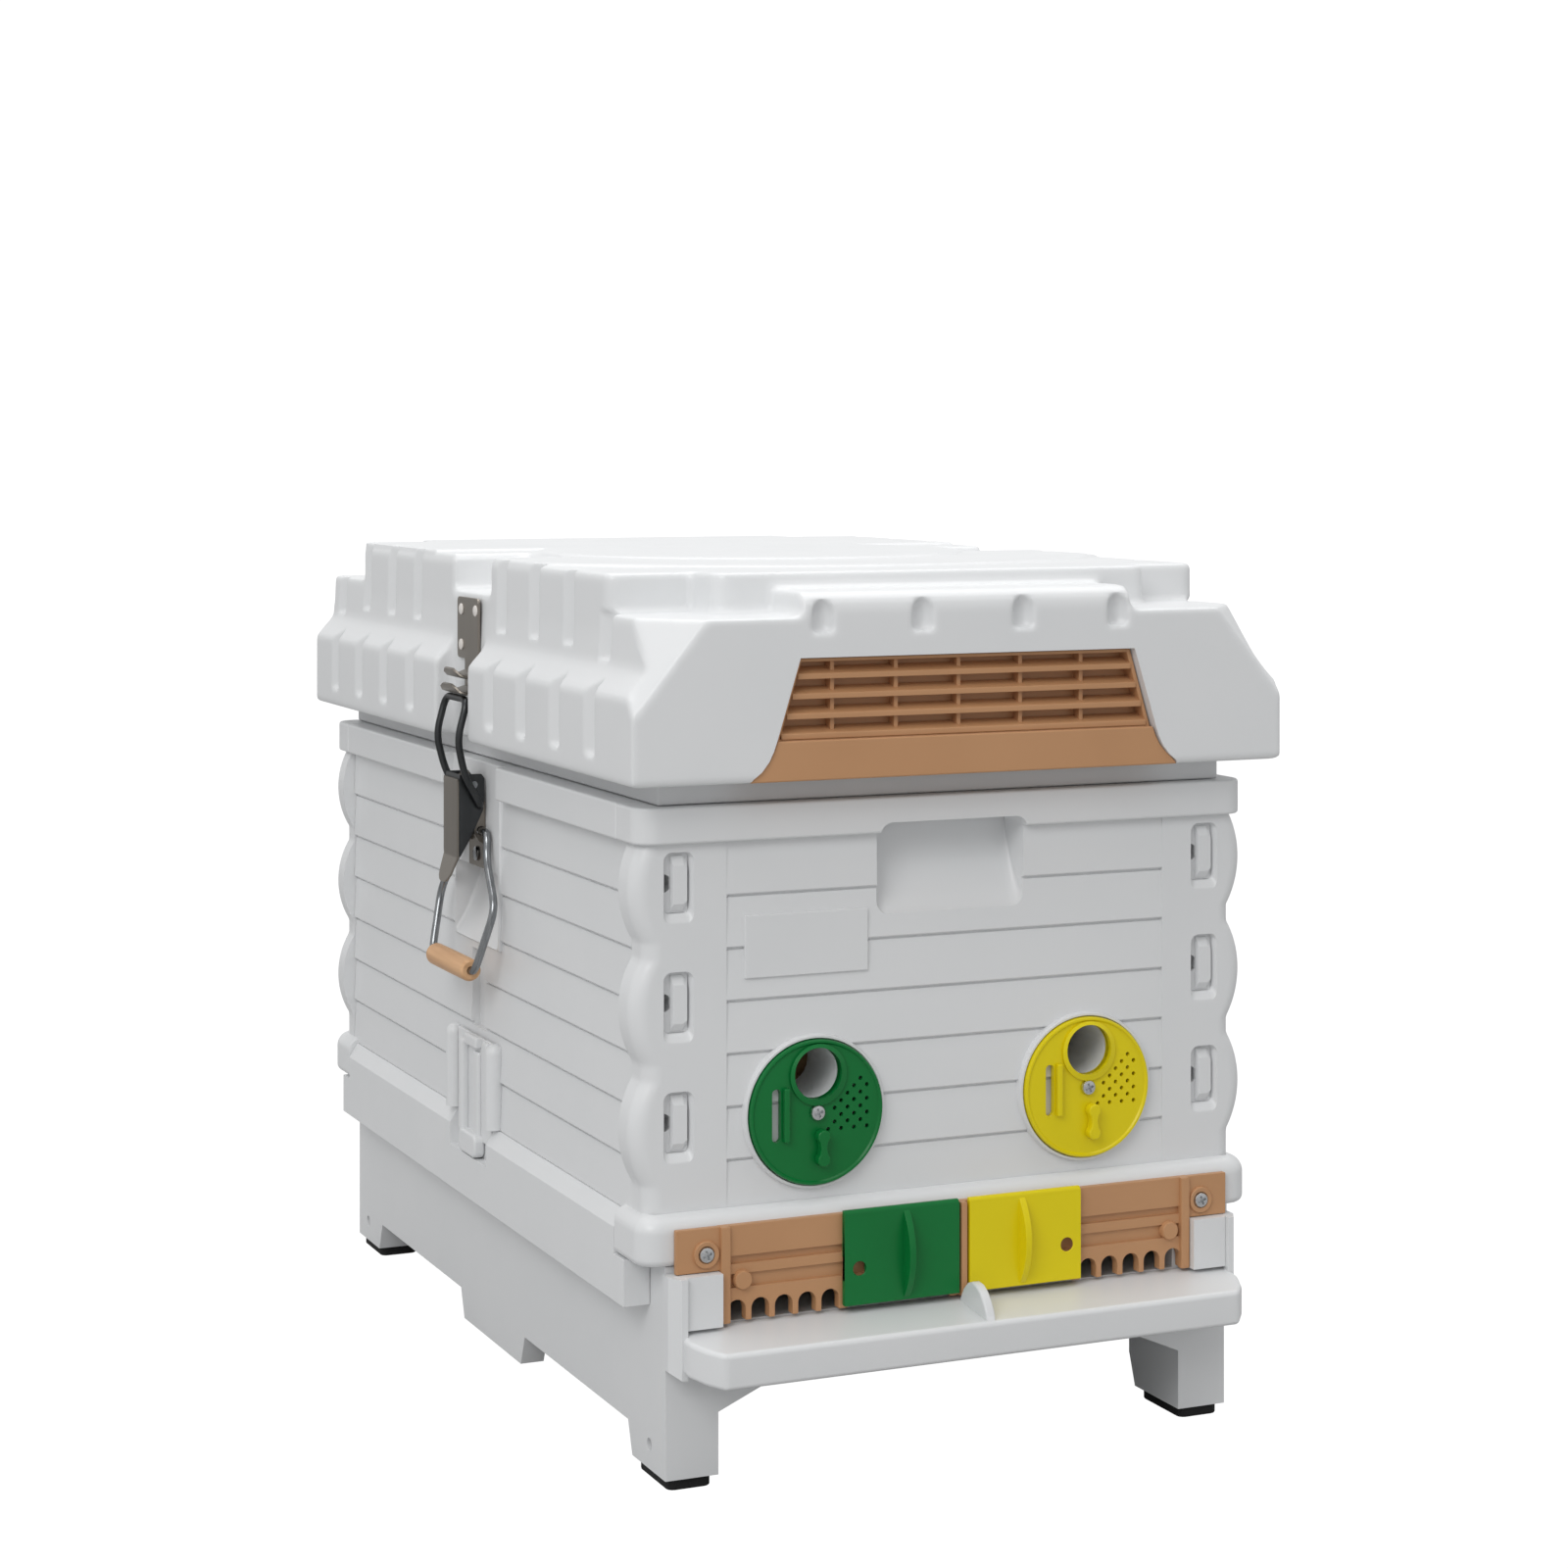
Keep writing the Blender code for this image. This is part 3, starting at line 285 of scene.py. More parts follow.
def merged(name, pieces):
    """Several closed meshes as one object."""
    edit = bmesh.new()
    for piece in pieces:
        edit.from_mesh(piece.data)
    mesh = bpy.data.meshes.new(name)
    edit.to_mesh(mesh)
    edit.free()
    for piece in pieces:
        bpy.data.objects.remove(piece, do_unlink=True)
    return add(name, mesh)


def soften(piece, width, segments=3, angle=32, clamp=True):
    """Round the edges that are sharper than an angle."""
    step = piece.modifiers.new("edges", "BEVEL")
    step.width = width * MM
    step.segments = segments
    step.limit_method = "ANGLE"
    step.angle_limit = math.radians(angle)
    step.use_clamp_overlap = clamp
    return settle(piece)


def polish(piece, angle=42):
    """Smooth shading whose normals follow the large faces."""
    piece.data.shade_smooth()
    piece.data.set_sharp_from_angle(angle=math.radians(angle))
    step = piece.modifiers.new("normals", "WEIGHTED_NORMAL")
    step.keep_sharp = True
    step.weight = 80
    return settle(piece)


def remade(node, name):
    """A CAD node's mesh as a new piece, its flat faces whole again."""
    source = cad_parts[node].data
    mesh = bpy.data.meshes.new(name)
    mesh.from_pydata([v.co for v in source.vertices], [],
                     [tuple(p.vertices) for p in source.polygons])
    return add(name, outward(mesh, weld=2e-6, flatten=0.6))


def mirrored(outline, side):
    """An outline drawn for the right side, on the side asked for."""
    return [(side * a, b) for a, b in outline]


def span(side, inner, outer):
    """The (low, high) span between two distances from the middle plane."""
    return (min(side * inner, side * outer), max(side * inner, side * outer))


def dress(piece, body, look, slot, *nodes):
    """Give a piece its material, its body and the CAD nodes it stands for."""
    piece.data.materials.clear()
    piece.data.materials.append(look)
    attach(piece, body)
    if nodes:
        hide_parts(*nodes)
    return piece


# ---- materials ---------------------------------------------------------------
def node_at(tree, kind, **values):
    """A shader node with its sockets or settings filled in."""
    made = tree.nodes.new(kind)
    for key, value in values.items():
        if key in made.inputs:
            made.inputs[key].default_value = value
        else:
            setattr(made, key, value)
    return made


def mixed_colour(tree, factor, low, high):
    """A colour between two others, by a 0 to 1 factor."""
    ramp = tree.nodes.new("ShaderNodeValToRGB")
    ramp.color_ramp.elements[0].position = 0.3
    ramp.color_ramp.elements[0].color = (*low, 1)
    ramp.color_ramp.elements[1].position = 0.7
    ramp.color_ramp.elements[1].color = (*high, 1)
    tree.links.new(factor, ramp.inputs["Fac"])
    return ramp.outputs["Color"]


def ranged(tree, value, low, high):
    """A 0 to 1 value brought between two others."""
    made = node_at(tree, "ShaderNodeMapRange")
    made.inputs["To Min"].default_value = low
    made.inputs["To Max"].default_value = high
    tree.links.new(value, made.inputs["Value"])
    return made.outputs["Result"]


def bumped(tree, shader, height, strength, distance):
    """Give a shader small surface relief."""
    bump = node_at(tree, "ShaderNodeBump", Strength=strength, Distance=distance)
    tree.links.new(height, bump.inputs["Height"])
    tree.links.new(bump.outputs["Normal"], shader.inputs["Normal"])


def base_material(name, metallic=0.0):
    """A material, its node tree, its main shader and its object coordinates."""
    look = bpy.data.materials.new(name)
    look.use_nodes = True
    tree = look.node_tree
    shader = tree.nodes["Principled BSDF"]
    shader.inputs["Metallic"].default_value = metallic
    place = tree.nodes.new("ShaderNodeTexCoord").outputs["Object"]
    return look, tree, shader, place


def noise(tree, place, scale, detail=3.0, stretch=None):
    """Noise over the object, drawn out along an axis where stretch says so."""
    if stretch is not None:
        mapping = tree.nodes.new("ShaderNodeMapping")
        mapping.inputs["Scale"].default_value = stretch
        tree.links.new(place, mapping.inputs["Vector"])
        place = mapping.outputs["Vector"]
    made = node_at(tree, "ShaderNodeTexNoise", Scale=scale, Detail=detail)
    tree.links.new(place, made.inputs["Vector"])
    return made.outputs["Fac"]


def plastic(name, low, high, rough, grain=700.0, grit=0.06, shine=0.45):
    """Moulded plastic: faint mottling, uneven sheen and a fine moulded skin."""
    look, tree, shader, place = base_material(name)
    mottle = noise(tree, place, 14.0, 4.0)
    tree.links.new(mixed_colour(tree, mottle, low, high), shader.inputs["Base Color"])
    sheen = noise(tree, place, 45.0, 2.0)
    tree.links.new(ranged(tree, sheen, rough - 0.05, rough + 0.06), shader.inputs["Roughness"])
    bumped(tree, shader, noise(tree, place, grain, 2.0), grit, 0.0002)
    shader.inputs["Specular IOR Level"].default_value = shine
    return look


def streaked(name, low, high, rough, stretch, scale, detail, relief, metallic=0.0):
    """Long fine streaks in colour, sheen and relief."""
    look, tree, shader, place = base_material(name, metallic)
    streak = noise(tree, place, scale, detail, stretch)
    tree.links.new(mixed_colour(tree, streak, low, high), shader.inputs["Base Color"])
    tree.links.new(ranged(tree, streak, *rough), shader.inputs["Roughness"])
    bumped(tree, shader, streak, *relief)
    return look


def metal(name, low, high, rough, stretch, scale=160.0):
    """Brushed or drawn steel."""
    return streaked(name, low, high, (rough - 0.07, rough + 0.08), stretch, scale, 3.0,
                    (0.08, 0.0002), 1.0)


def wood(name, low, high, stretch, scale):
    """Wood with grain along one axis."""
    return streaked(name, low, high, (0.42, 0.6), stretch, scale, 5.0, (0.12, 0.0003))


WHITE = plastic("white_moulded_plastic", (0.735, 0.745, 0.752), (0.755, 0.762, 0.768), 0.32)
TAN = plastic("tan_moulded_plastic", (0.50, 0.262, 0.125), (0.54, 0.288, 0.14), 0.42)
GREEN = plastic("green_moulded_plastic", (0.002, 0.158, 0.032), (0.003, 0.176, 0.038), 0.30,
                shine=0.3)
YELLOW = plastic("yellow_moulded_plastic", (0.76, 0.63, 0.004), (0.80, 0.66, 0.006), 0.30,
                 shine=0.3)
STEEL = metal("stainless_plate", (0.25, 0.225, 0.195), (0.29, 0.262, 0.23), 0.36, (1, 1, 0.06))
DARK = metal("dark_steel_sheet", (0.05, 0.052, 0.054), (0.075, 0.078, 0.08), 0.36, (1, 1, 0.08))
WIRE = metal("drawn_wire", (0.22, 0.23, 0.24), (0.34, 0.35, 0.36), 0.24, (1, 1, 0.05), 300.0)
ZINC = metal("zinc_plate", (0.55, 0.56, 0.57), (0.66, 0.67, 0.68), 0.26, (1, 1, 1), 900.0)
PINE = wood("pine", (0.50, 0.30, 0.14), (0.66, 0.43, 0.23), (1.0, 0.06, 1.0), 120.0)
BEECH = wood("beech", (0.56, 0.31, 0.15), (0.74, 0.45, 0.24), (1.0, 0.05, 1.0), 260.0)
RUBBER = plastic("black_rubber", (0.006, 0.006, 0.006), (0.012, 0.012, 0.012), 0.72, 900.0, 0.2)
PALE = plastic("pale_screw_coat", (0.74, 0.70, 0.66), (0.80, 0.76, 0.72), 0.35)
SIDE_PLASTIC = {"left": (GREEN, "green_plastic"), "right": (YELLOW, "yellow_plastic")}


def white(piece, body, *nodes):
    """Dress a piece in the white plastic."""
    return dress(piece, body, WHITE, "white_plastic", *nodes)


# ---- roof --------------------------------------------------------------------
def hull(name, corners):
    """Convex solid round some points."""
    mesh = bpy.data.meshes.new(name)
    edit = bmesh.new()
    for corner in corners:
        edit.verts.new(put(*corner))
    bmesh.ops.convex_hull(edit, input=edit.verts)
    bmesh.ops.recalc_face_normals(edit, faces=edit.faces)
    edit.to_mesh(mesh)
    edit.free()
    return add(name, mesh)


def rounded_by_voxels(piece, voxel, rounds, keep=1.0):
    """Round every edge as a mould does, then thin the mesh where it is flat."""
    step = piece.modifiers.new("voxels", "REMESH")
    step.mode = "VOXEL"
    step.voxel_size = voxel * MM
    step = piece.modifiers.new("round", "SMOOTH")
    step.factor = 0.5
    step.iterations = rounds
    if keep < 1.0:
        step = piece.modifiers.new("thin", "DECIMATE")
        step.ratio = keep
    return settle(piece)


def roof_groove(side, at, inner, outer, low, high):
    """One upright groove, deep at its front edge and running out to the rear."""
    plan = [(197, at - 8), (inner, at - 8), (outer, at + 8), (197, at + 8)]
    return prism("groove", mirrored(plan, side), "z", low, high)


def roof_block():
    """Outer block with its tiers, front facets, latch recesses and dips."""
    outline = [(-ROOF_HALF, 360.3), (ROOF_HALF, 360.3), (ROOF_HALF, 405), (178.4, 418),
               (177, ROOF_DECK), (-177, ROOF_DECK), (-178.4, 418), (-ROOF_HALF, 405)]
    roof = prism("roof_moulding", outline, "y", ROOF_FRONT, ROOF_REAR)
    ring = prism("tier_ring", circle((0, PAD_Y), 210, 72), "z", 440, 467.2)
    combine(ring, [box("clip", (-176, 176), (16, 529), (400, 480))], "INTERSECT")
    dip_y = (PAD_Y - 36, PAD_Y + 36)
    cut(ring, box("dip_left", (-ROOF_HALF, -128.5), dip_y, (400, 480)),
        box("dip_right", (128.5, ROOF_HALF), dip_y, (400, 480)))
    join(roof,
         prism("tier_side", round_box((-177.5, 46), (177.5, 500), 7, 5), "z", 405, 465.6),
         prism("tier_middle", round_box((-129, 15), (129, 530), 9, 5), "z", 405, 466),
         prism("tier_brow", [(22, 457.5)] + arc((-13.5, 447), 10.5, 90, 180, 8)
               + [(ROOF_FRONT, 430), (22, 430)], "x", -96.5, 96.5))
    tools = []
    for side, _ in SIDES:
        tools.append(hull("facet", [
            (side * 149, ROOF_FRONT, 445), (side * 189, ROOF_FRONT, 396), (side * 180.5, 16, 445),
            (side * 200, -44, 474), (side * 215, -44, 380)]))
        tools.append(prism("latch_recess", [
            (PAD_Y - 30, 350), (PAD_Y + 30, 350), (PAD_Y + 30, 440),
            (PAD_Y + 36, 480), (PAD_Y - 36, 480), (PAD_Y - 30, 440)],
            "x", *span(side, 178.5, 200)))
        dip = [(129, 480), (129, 467), (150, 446), (185, 446), (185, 480)]
        tools.append(prism("latch_dip", mirrored(dip, side), "y", PAD_Y - 34, PAD_Y + 34))
    cut(roof, *tools)
    return roof, ring


def roof_reliefs(ring):
    """Low raised shapes of the roof's top."""
    return [ring,
            prism("tier_ring_inner", circle((0, PAD_Y), 128, 64), "z", 440, 468.4),
            box("tier_rear", (-175.6, 175.6), (347, 498.6), (440, 468.6)),
            box("tier_rear_middle", (-128, 128), (347, 528.5), (440, 468.6))]


def roof_grooves():
    """Grooves of both sides, shorter at the corners, and the notches over the vent."""
    tools = []
    for side, _ in SIDES:
        for at in LOW_GROOVES_Y:
            tools.append(roof_groove(side, at, 183.4, 190.2, 372, 430))
        for at in HIGH_GROOVES_Y:
            heights = (420, 446) if at in (48, 545) else (425, 490)
            tools.append(roof_groove(side, at, 169.8, 177.2, *heights))
    dome = [(0, 436), (6.4, 436), (6.4, 446.5), (5.6, 450), (3.4, 452.8), (0, 454)]
    for x in NOTCHES_X:
        tools.append(turn_profile("notch", dome, (x, ROOF_FRONT - 0.5), "z", 24))
    return merged("grooves", tools)


def roof_hollows():
    """The vent's mouth and the stepped hollow under the roof."""
    mouth = [(126.5, 358), (124, 362.5), (119.5, 366), (115.5, 371), (113, 376), (111, 381.5),
             (98, 423.5)]
    mouth += [(-x, z) for x, z in reversed(mouth)]
    return [
        prism("mouth", mouth, "y", -40, 6),
        box("lower", (-150, 150), (28, 540), (340, 368)),
        box("wide", (-170, 170), (-8, 555), (367.5, 401)),
        box("high", (-165, 165), (10, 545), (400.5, 436)),
        box("crown", (-124, 124), (58, 490), (435.5, 459)),
    ]


def make_roof():
    """Double-skinned roof, rounded twice: first its blocks, then its grooves."""
    roof, ring = roof_block()
    rounded_by_voxels(roof, 2.0, 4)
    join(roof, *roof_reliefs(ring))
    cut(roof, roof_grooves())
    rounded_by_voxels(roof, 1.4, 2, 0.17)
    cut(roof, *roof_hollows())
    polish(roof, 38)
    return white(roof, "roof", "roof_shell")


def make_vent():
    """Vent insert: flared sill and a slatted grille with posts."""
    sill = [(125.3, 360.4), (122.6, 363.6), (118.6, 367), (114.6, 371.6), (112.2, 376),
            (110.2, 381.2)]
    sill += [(-x, z) for x, z in reversed(sill)]
    pieces = [soften(prism("sill", sill, "y", -22.6, -8), 1.0, 3, 40)]
    back = [(110.4, 379.5), (97.6, 423.0), (-97.6, 423.0), (-110.4, 379.5)]
    pieces.append(prism("back", back, "y", -10.4, -8.5))
    inner = [(107.6, 382.0), (95.6, 421.2), (-95.6, 421.2), (-107.6, 382.0)]
    border = cut(prism("border", back, "y", -19.5, -9), prism("opening", inner, "y", -30, 0))
    pieces.append(soften(border, 0.6, 2, 40))
    for index in range(4):
        low = 383.0 + 10.2 * index
        half = 107.4 - (low - 382.0) * 0.305
        profile = [(-20.2, low - 1.4), (-20.2, low + 1.6), (-11.2, low + 5.0), (-11.2, low + 2.8)]
        pieces.append(soften(prism("slat", profile, "x", -half, half), 0.5, 2, 40))
    for index in range(5):
        x = -77.0 + 36.5 * index
        pieces.append(soften(box("post", (x - 1.2, x + 1.2), (-16.8, -10), (382, 422)), 0.4, 2, 40))
    vent = polish(merged("roof_vent_grille", pieces))
    return dress(vent, "roof", TAN, "tan_plastic", "roof_vent")


# ---- walls -------------------------------------------------------------------
def lap_profile():
    """Lapped planks as (depth, z) from foot to rim: each board's foot stands proud."""
    rows = [(0.0, WALL_FOOT)]
    for index in range(1, 8):
        line = WALL_FOOT + PLANK * index
        if line > RIM_FOOT - 5:
            break
        rows += [(1.2, line - 1.5), (2.2, line - 1.1), (2.2, line - 0.15), (0.5, line),
                 (0.0, line + 0.6)]
    rows.append((1.2, RIM_TOP - 0.5))
    return rows


def bulge(z):
    """How far a corner post swells out at a height."""
    half, rise = 26.5, 7.5
    radius = (half ** 2 + rise ** 2) / (2 * rise)
    swell = 0.0
    for centre in BULGE_Z:
        away = abs(z - centre)
        if away < half:
            swell = max(swell, math.sqrt(radius ** 2 - away ** 2) - radius + rise)
    return swell


def make_post(side, turn):
    """One corner post of an end wall: swollen edge and three key windows."""
    step = 1.9
    count = int((RIM_FOOT + 2 - WALL_FOOT) / step) + 1
    heights = [WALL_FOOT + step * k for k in range(count)]
    rings = []
    for z in heights:
        half = BOX_HALF + bulge(z)
        ring = [(POST_INNER, 0.0)] + arc((half - 9, 9), 9, -90, 0, 8)
        ring += [(half, 20.0), (CORE_HALF, 20.0), (CORE_HALF, POST_DEPTH),
                 (POST_INNER, POST_DEPTH)]
        rings.append([(side * x, turn(y), z) for x, y in ring])
    post = loft("post", rings)
    tools = []
    for z in KEY_Z:
        rows = []
        for y, drop in ((-5, 5.6), (-0.02, 5.2), (0.7, 4.2), (1.6, 2.2), (2.8, 0.5), (3.6, 0.0),
                        (14, 0.0)):
            outline = round_box((side * KEY_X - 6.8 - drop * 0.3, z - 15.4 - drop),
                                (side * KEY_X + 6.8 + drop * 0.3, z + 15.4 + drop * 0.15),
                                2.6 + drop * 0.4, 5)
            rows.append([(x, turn(y), h) for x, h in outline])
        tools.append(loft("window", rows))
    cut(post, merged("windows", tools))
    return post


def make_end_wall(front):
    """Front or rear wall: planks between scalloped posts, rim and hand hold."""
    word = "front" if front else "rear"

    def turn(y):
        """Depth of the front wall, or the same depth from the rear."""
        return y if front else BOX_LENGTH - y

    profile = [(turn(lap), z) for lap, z in lap_profile()]
    profile += [(turn(37.8), RIM_TOP - 0.5), (turn(37.8), WALL_FOOT)]
    planks = prism("planks", profile, "x", -POST_INNER, POST_INNER)
    band = box("core", (-CORE_HALF, CORE_HALF), sorted((turn(3), turn(POST_DEPTH))),
               (RIM_FOOT + 0.4, RIM_TOP - 0.2))
    plan = [(RIM_HALF, 26.5)] + arc((RIM_HALF - 12, 7.5), 12, 0, -90, 8)
    plan += [(-x, y) for x, y in reversed(plan)]
    rim = soften(prism("rim", [(x, turn(y)) for x, y in plan], "z", RIM_FOOT, RIM_TOP), 1.6, 3, 40)
    join(band, rim)
    scoop = []
    for y, low in ((-12, 285.5), (0.0, 285.5), (2, 286.5), (5, 289.5), (9, 295.5), (13, 303.5),
                   (16.5, 313), (18.5, 321), (19.2, 326)):
        inset = 0.0 if y < 1 else 1.6 * (y / 19.2)
        outline = round_box((-HOLD_HALF + inset, low),
                            (HOLD_HALF - inset, HOLD_TOP - inset * 0.4),
                            min(7.0, (HOLD_TOP - low) * 0.35), 6)
        scoop.append([(x, turn(y), z) for x, z in outline])
    scoop = loft("scoop", scoop)
    cut(band, prism("hold", round_box((-HOLD_HALF, 300), (HOLD_HALF, HOLD_TOP), 7, 6), "y",
                    *sorted((turn(-15), turn(21)))))
    cut(planks, scoop)
    if front:
        for side, _ in SIDES:
            mouth = circle((side * DISC_X, DISC_Z + PORT_RISE), PORT_RADIUS, 40)
            cut(planks, prism("port", mouth, "y", -10, 60))
    posts = [make_post(side, turn) for side, _ in SIDES]
    wall = polish(merged(word + "_wall_moulding", [planks, band] + posts), 38)
    return white(wall, "brood_box", word + "_wall")


def make_front_trim():
    """Blank nameplate and the seats round the two entrance discs."""
    plate = prism("nameplate_blank", [(-119, 257.5), (-49, 257.5), (-49, 290), (-119, 290)],
                  "y", -0.9, 3)
    white(polish(soften(plate, 0.5, 3, 40)), "brood_box")
    for side, word in SIDES:
        profile = [(38.1, 3), (38.1, -2.2), (38.4, -2.7), (39.4, -2.7), (40.2, -1.0), (40.4, 3)]
        seat = turn_profile("disc_seat_" + word, profile, (side * DISC_X, DISC_Z), "y", 72)
        white(polish(seat, 50), "brood_box")


def make_side_wall(side, word):
    """Long wall: lapped planks, rim, latch panel, finger scoop and lock guides."""
    profile = [(BOX_HALF - lap, z) for lap, z in lap_profile()]
    profile += [(135.5, RIM_TOP - 0.5), (135.5, WALL_FOOT)]
    wall = prism("planks", mirrored(profile, side), "y", 20.4, 531.6)
    pad = soften(box("pad", span(side, 160, 174.2), (PAD_Y - PAD_HALF, PAD_Y + PAD_HALF),
                     (240.5, RIM_TOP - 0.1)), 1.2, 3, 40)
    join(wall, pad)
    scoop = []
    for x, low in ((190, 240.8), (174.3, 240.8), (172.6, 243), (168.4, 250), (163.6, 261),
                   (158.6, 274), (156.0, 280)):
        scoop.append([(side * x, y, z) for y, z in
                      round_box((PAD_Y - 39, low), (PAD_Y + 39, 285.4), 4.4, 5)])
    channel = box("channel", span(side, 168.0, 190), (PAD_Y - 12, PAD_Y + 12), (190, 236))
    cut(wall, channel)
    cut(wall, loft("scoop", scoop))
    parts = [wall]
    for low, high in ((27.0, PAD_Y - 50), (PAD_Y + 50, 525.0)):
        rim = box("rim", span(side, 160, RIM_HALF), (low, high), (RIM_FOOT, RIM_TOP))
        parts.append(soften(rim, 1.4, 3, 40))
    for offset in (-36.8, 36.8):
        dome = [(0, WALL_FOOT + 0.3), (5.4, WALL_FOOT + 0.3), (5.4, 181.2), (5.0, 183.6),
                (3.9, 185.7), (2.2, 187.0), (0, 187.4)]
        parts.append(turn_profile("guide", dome, (side * 175.6, PAD_Y + offset), "z", 28))
    wall = polish(merged("side_moulding_" + word, parts), 38)
    return white(wall, "brood_box", "side_wall_" + word)


def make_key(end, side, word):
    """One corner key: chamfered tongues, each in its window beside a screw hole."""
    name = "corner_key_" + end + "_" + word
    facing = 1 if end == "front" else -1
    middle = side * KEY_X

    def deep(y):
        """Depth in the front wall, or the same depth from the rear."""
        return y if facing > 0 else BOX_LENGTH - y

    foot = [(-3.4, -14.4), (3.4, -14.4), (6.0, -11.2), (6.0, 11.2), (3.4, 14.2), (-3.4, 14.2)]
    head = [(-2.4, -10.6), (3.4, -10.6), (5.2, -8.8), (5.2, 7.4), (3.4, 9.2), (-2.4, 9.2)]
    pockets = []
    wells = []
    floors = []
    tongues = []
    for z in KEY_Z:
        pockets.append(box("pocket", (middle - 9, middle + 9),
                           sorted((deep(-6), deep(6.4))), (z - 17, z + 17)))
        floors.append(box("floor", (middle - 6.6, middle + 6.6),
                          sorted((deep(4.4), deep(7))), (z - 15.2, z + 15.2)))
        wells.append(prism("well", circle((middle - facing * 7.2, z), 4.8, 28), "y",
                           *sorted((deep(0), deep(16)))))
        tongues.append(loft("tongue", [
            [(middle + facing * a, deep(y), z + b) for a, b in outline]
            for y, outline in ((6, foot), (3.8, foot), (1.2, head))]))
    key = cut(remade(name, "strip"), merged("pockets", pockets))
    wells = merged("wells", wells)
    floor_wells = add("floor_wells", wells.data.copy())
    cut(key, wells)
    floor = cut(merged("key_floors", floors), floor_wells)
    tongues = [soften(tongue, 0.3, 2, 20) for tongue in tongues]
    piece = merged("key_strip_" + end + "_" + word, [key, floor] + tongues)
    return white(polish(piece, 30), "brood_box", name)


def make_keys():
    """The four corner keys."""
    for end in ("front", "rear"):
        for side, word in SIDES:
            make_key(end, side, word)


# ---- base --------------------------------------------------------------------
def make_stand():
    """Legged stand with a pin hole at each leg."""
    base = remade("base_stand", "stand_moulding")
    tools = []
    for y in (17.0, 528.0):
        for side in (-1, 1):
            tools.append(prism("pin_hole", circle((y, 18.5), 3.4, 24), "x",
                               *span(side, 158, 175)))
    cut(base, *tools)
    polish(soften(base, 1.4, 3, 30))
    return white(base, "base", "base_stand")


def make_entrance_post(side, word):
    """Post beside the entrance, with a clipped cheek and a sloping foot."""
    post = remade("entrance_post_" + word, "gate_post_" + word)
    plan = [(158.5, -6.0), (166.4, -6.0), (166.4, -12.6), (161.9, -20.4), (158.5, -20.4)]
    cheek = prism("cheek", mirrored(plan, side), "z", 60.5, 111.6)
    slope = prism("slope", mirrored([(150, 50), (170, 50), (170, 66), (161.5, 60.5)], side),
                  "y", -40, 0)
    join(post, cut(cheek, slope))
    polish(soften(post, 1.6, 3, 20))
    return white(post, "base", "entrance_post_" + word)


def make_foot(node):
    """Black rubber foot."""
    foot = polish(soften(remade(node, "rubber_" + node), 0.8, 3, 40))
    return dress(foot, "base", RUBBER, "black_rubber", node)


def make_base():
    """Stand, entrance posts, feet, floor screen and tray."""
    make_stand()
    for side, word in SIDES:
        make_entrance_post(side, word)
        for end in ("front", "rear"):
            make_foot("foot_" + end + "_" + word)
    screen = dress(remade("floor_screen", "screen_sheet"), "base", STEEL, "stainless_steel",
                   "floor_screen")
    screen.data.shade_flat()
    tray = polish(soften(remade("pull_out_tray", "tray_moulding"), 0.8, 2, 30))
    white(tray, "tray", "pull_out_tray")


def make_landing_board():
    """Sloping board with clipped corners and a curved dividing fin."""
    plan = [(-161, -BOARD_BACK), (-161, -26), (-156, -38), (-149, -47), (149, -47), (156, -38),
            (161, -26), (161, -BOARD_BACK)]
    rings = []
    for drop in (0, BOARD_THICK):
        rings.append([(x, y, 84.0 - (abs(y) - BOARD_BACK) * BOARD_SLOPE - drop)
                      for x, y in plan])
    board = soften(loft("landing_moulding", rings), 2.6, 4, 20)
    profile = [(-13.5, 78), (-14.5, 84.5), (-18.0, 90.0), (-22.5, 93.9), (-27.6, 95.6),
               (-32.6, 95.0), (-37.4, 92.4), (-41.6, 88.0), (-44.8, 82.6), (-46.2, 77.0)]
    join(board, soften(prism("fin", profile, "x", -2.2, 3.2), 1.3, 3, 30))
    polish(board, 45)
    return white(board, "base", "landing_board")


def make_end_rail(front):
    """Rounded rail that wraps the corners under an end wall."""
    word = "front" if front else "rear"
    path = [(170.7, 29.8)] + arc((167.7, 3.0), 3.0, 0, -90, 6)
    path += [(-x, y) for x, y in reversed(path)]
    profile = [(-14, 137.3), (-0.1, 137.3), (0.0, 140.9)]
    profile += arc((0.2, 132.1), 8.8, 86, 0, 9)
    profile += arc((5.0, 119.4), 4.0, 0, -86, 5) + [(-14, 115.4)]
    rings = []
    for index, (x, y) in enumerate(path):
        dx, dy = heading(path, index)
        nx, ny = -dy, dx
        if index in (0, len(path) - 1):
            nx, ny = (1 if x > 0 else -1), 0
        ring = [(x + nx * out, y + ny * out, z) for out, z in profile]
        rings.append([(a, b if front else BOX_LENGTH - b, c) for a, b, c in ring])
    rail = loft(word + "_rail_moulding", rings)
    polish(soften(rail, 0.6, 2, 50), 40)
    return white(rail, "base", word + "_rail")


def make_side_rail(side, word):
    """Rail along a long side of the base, its edges rounded."""
    rail = remade("side_rail_" + word, "side_rail_moulding_" + word)
    polish(soften(rail, 1.3, 3, 25))
    return white(rail, "base", "side_rail_" + word)


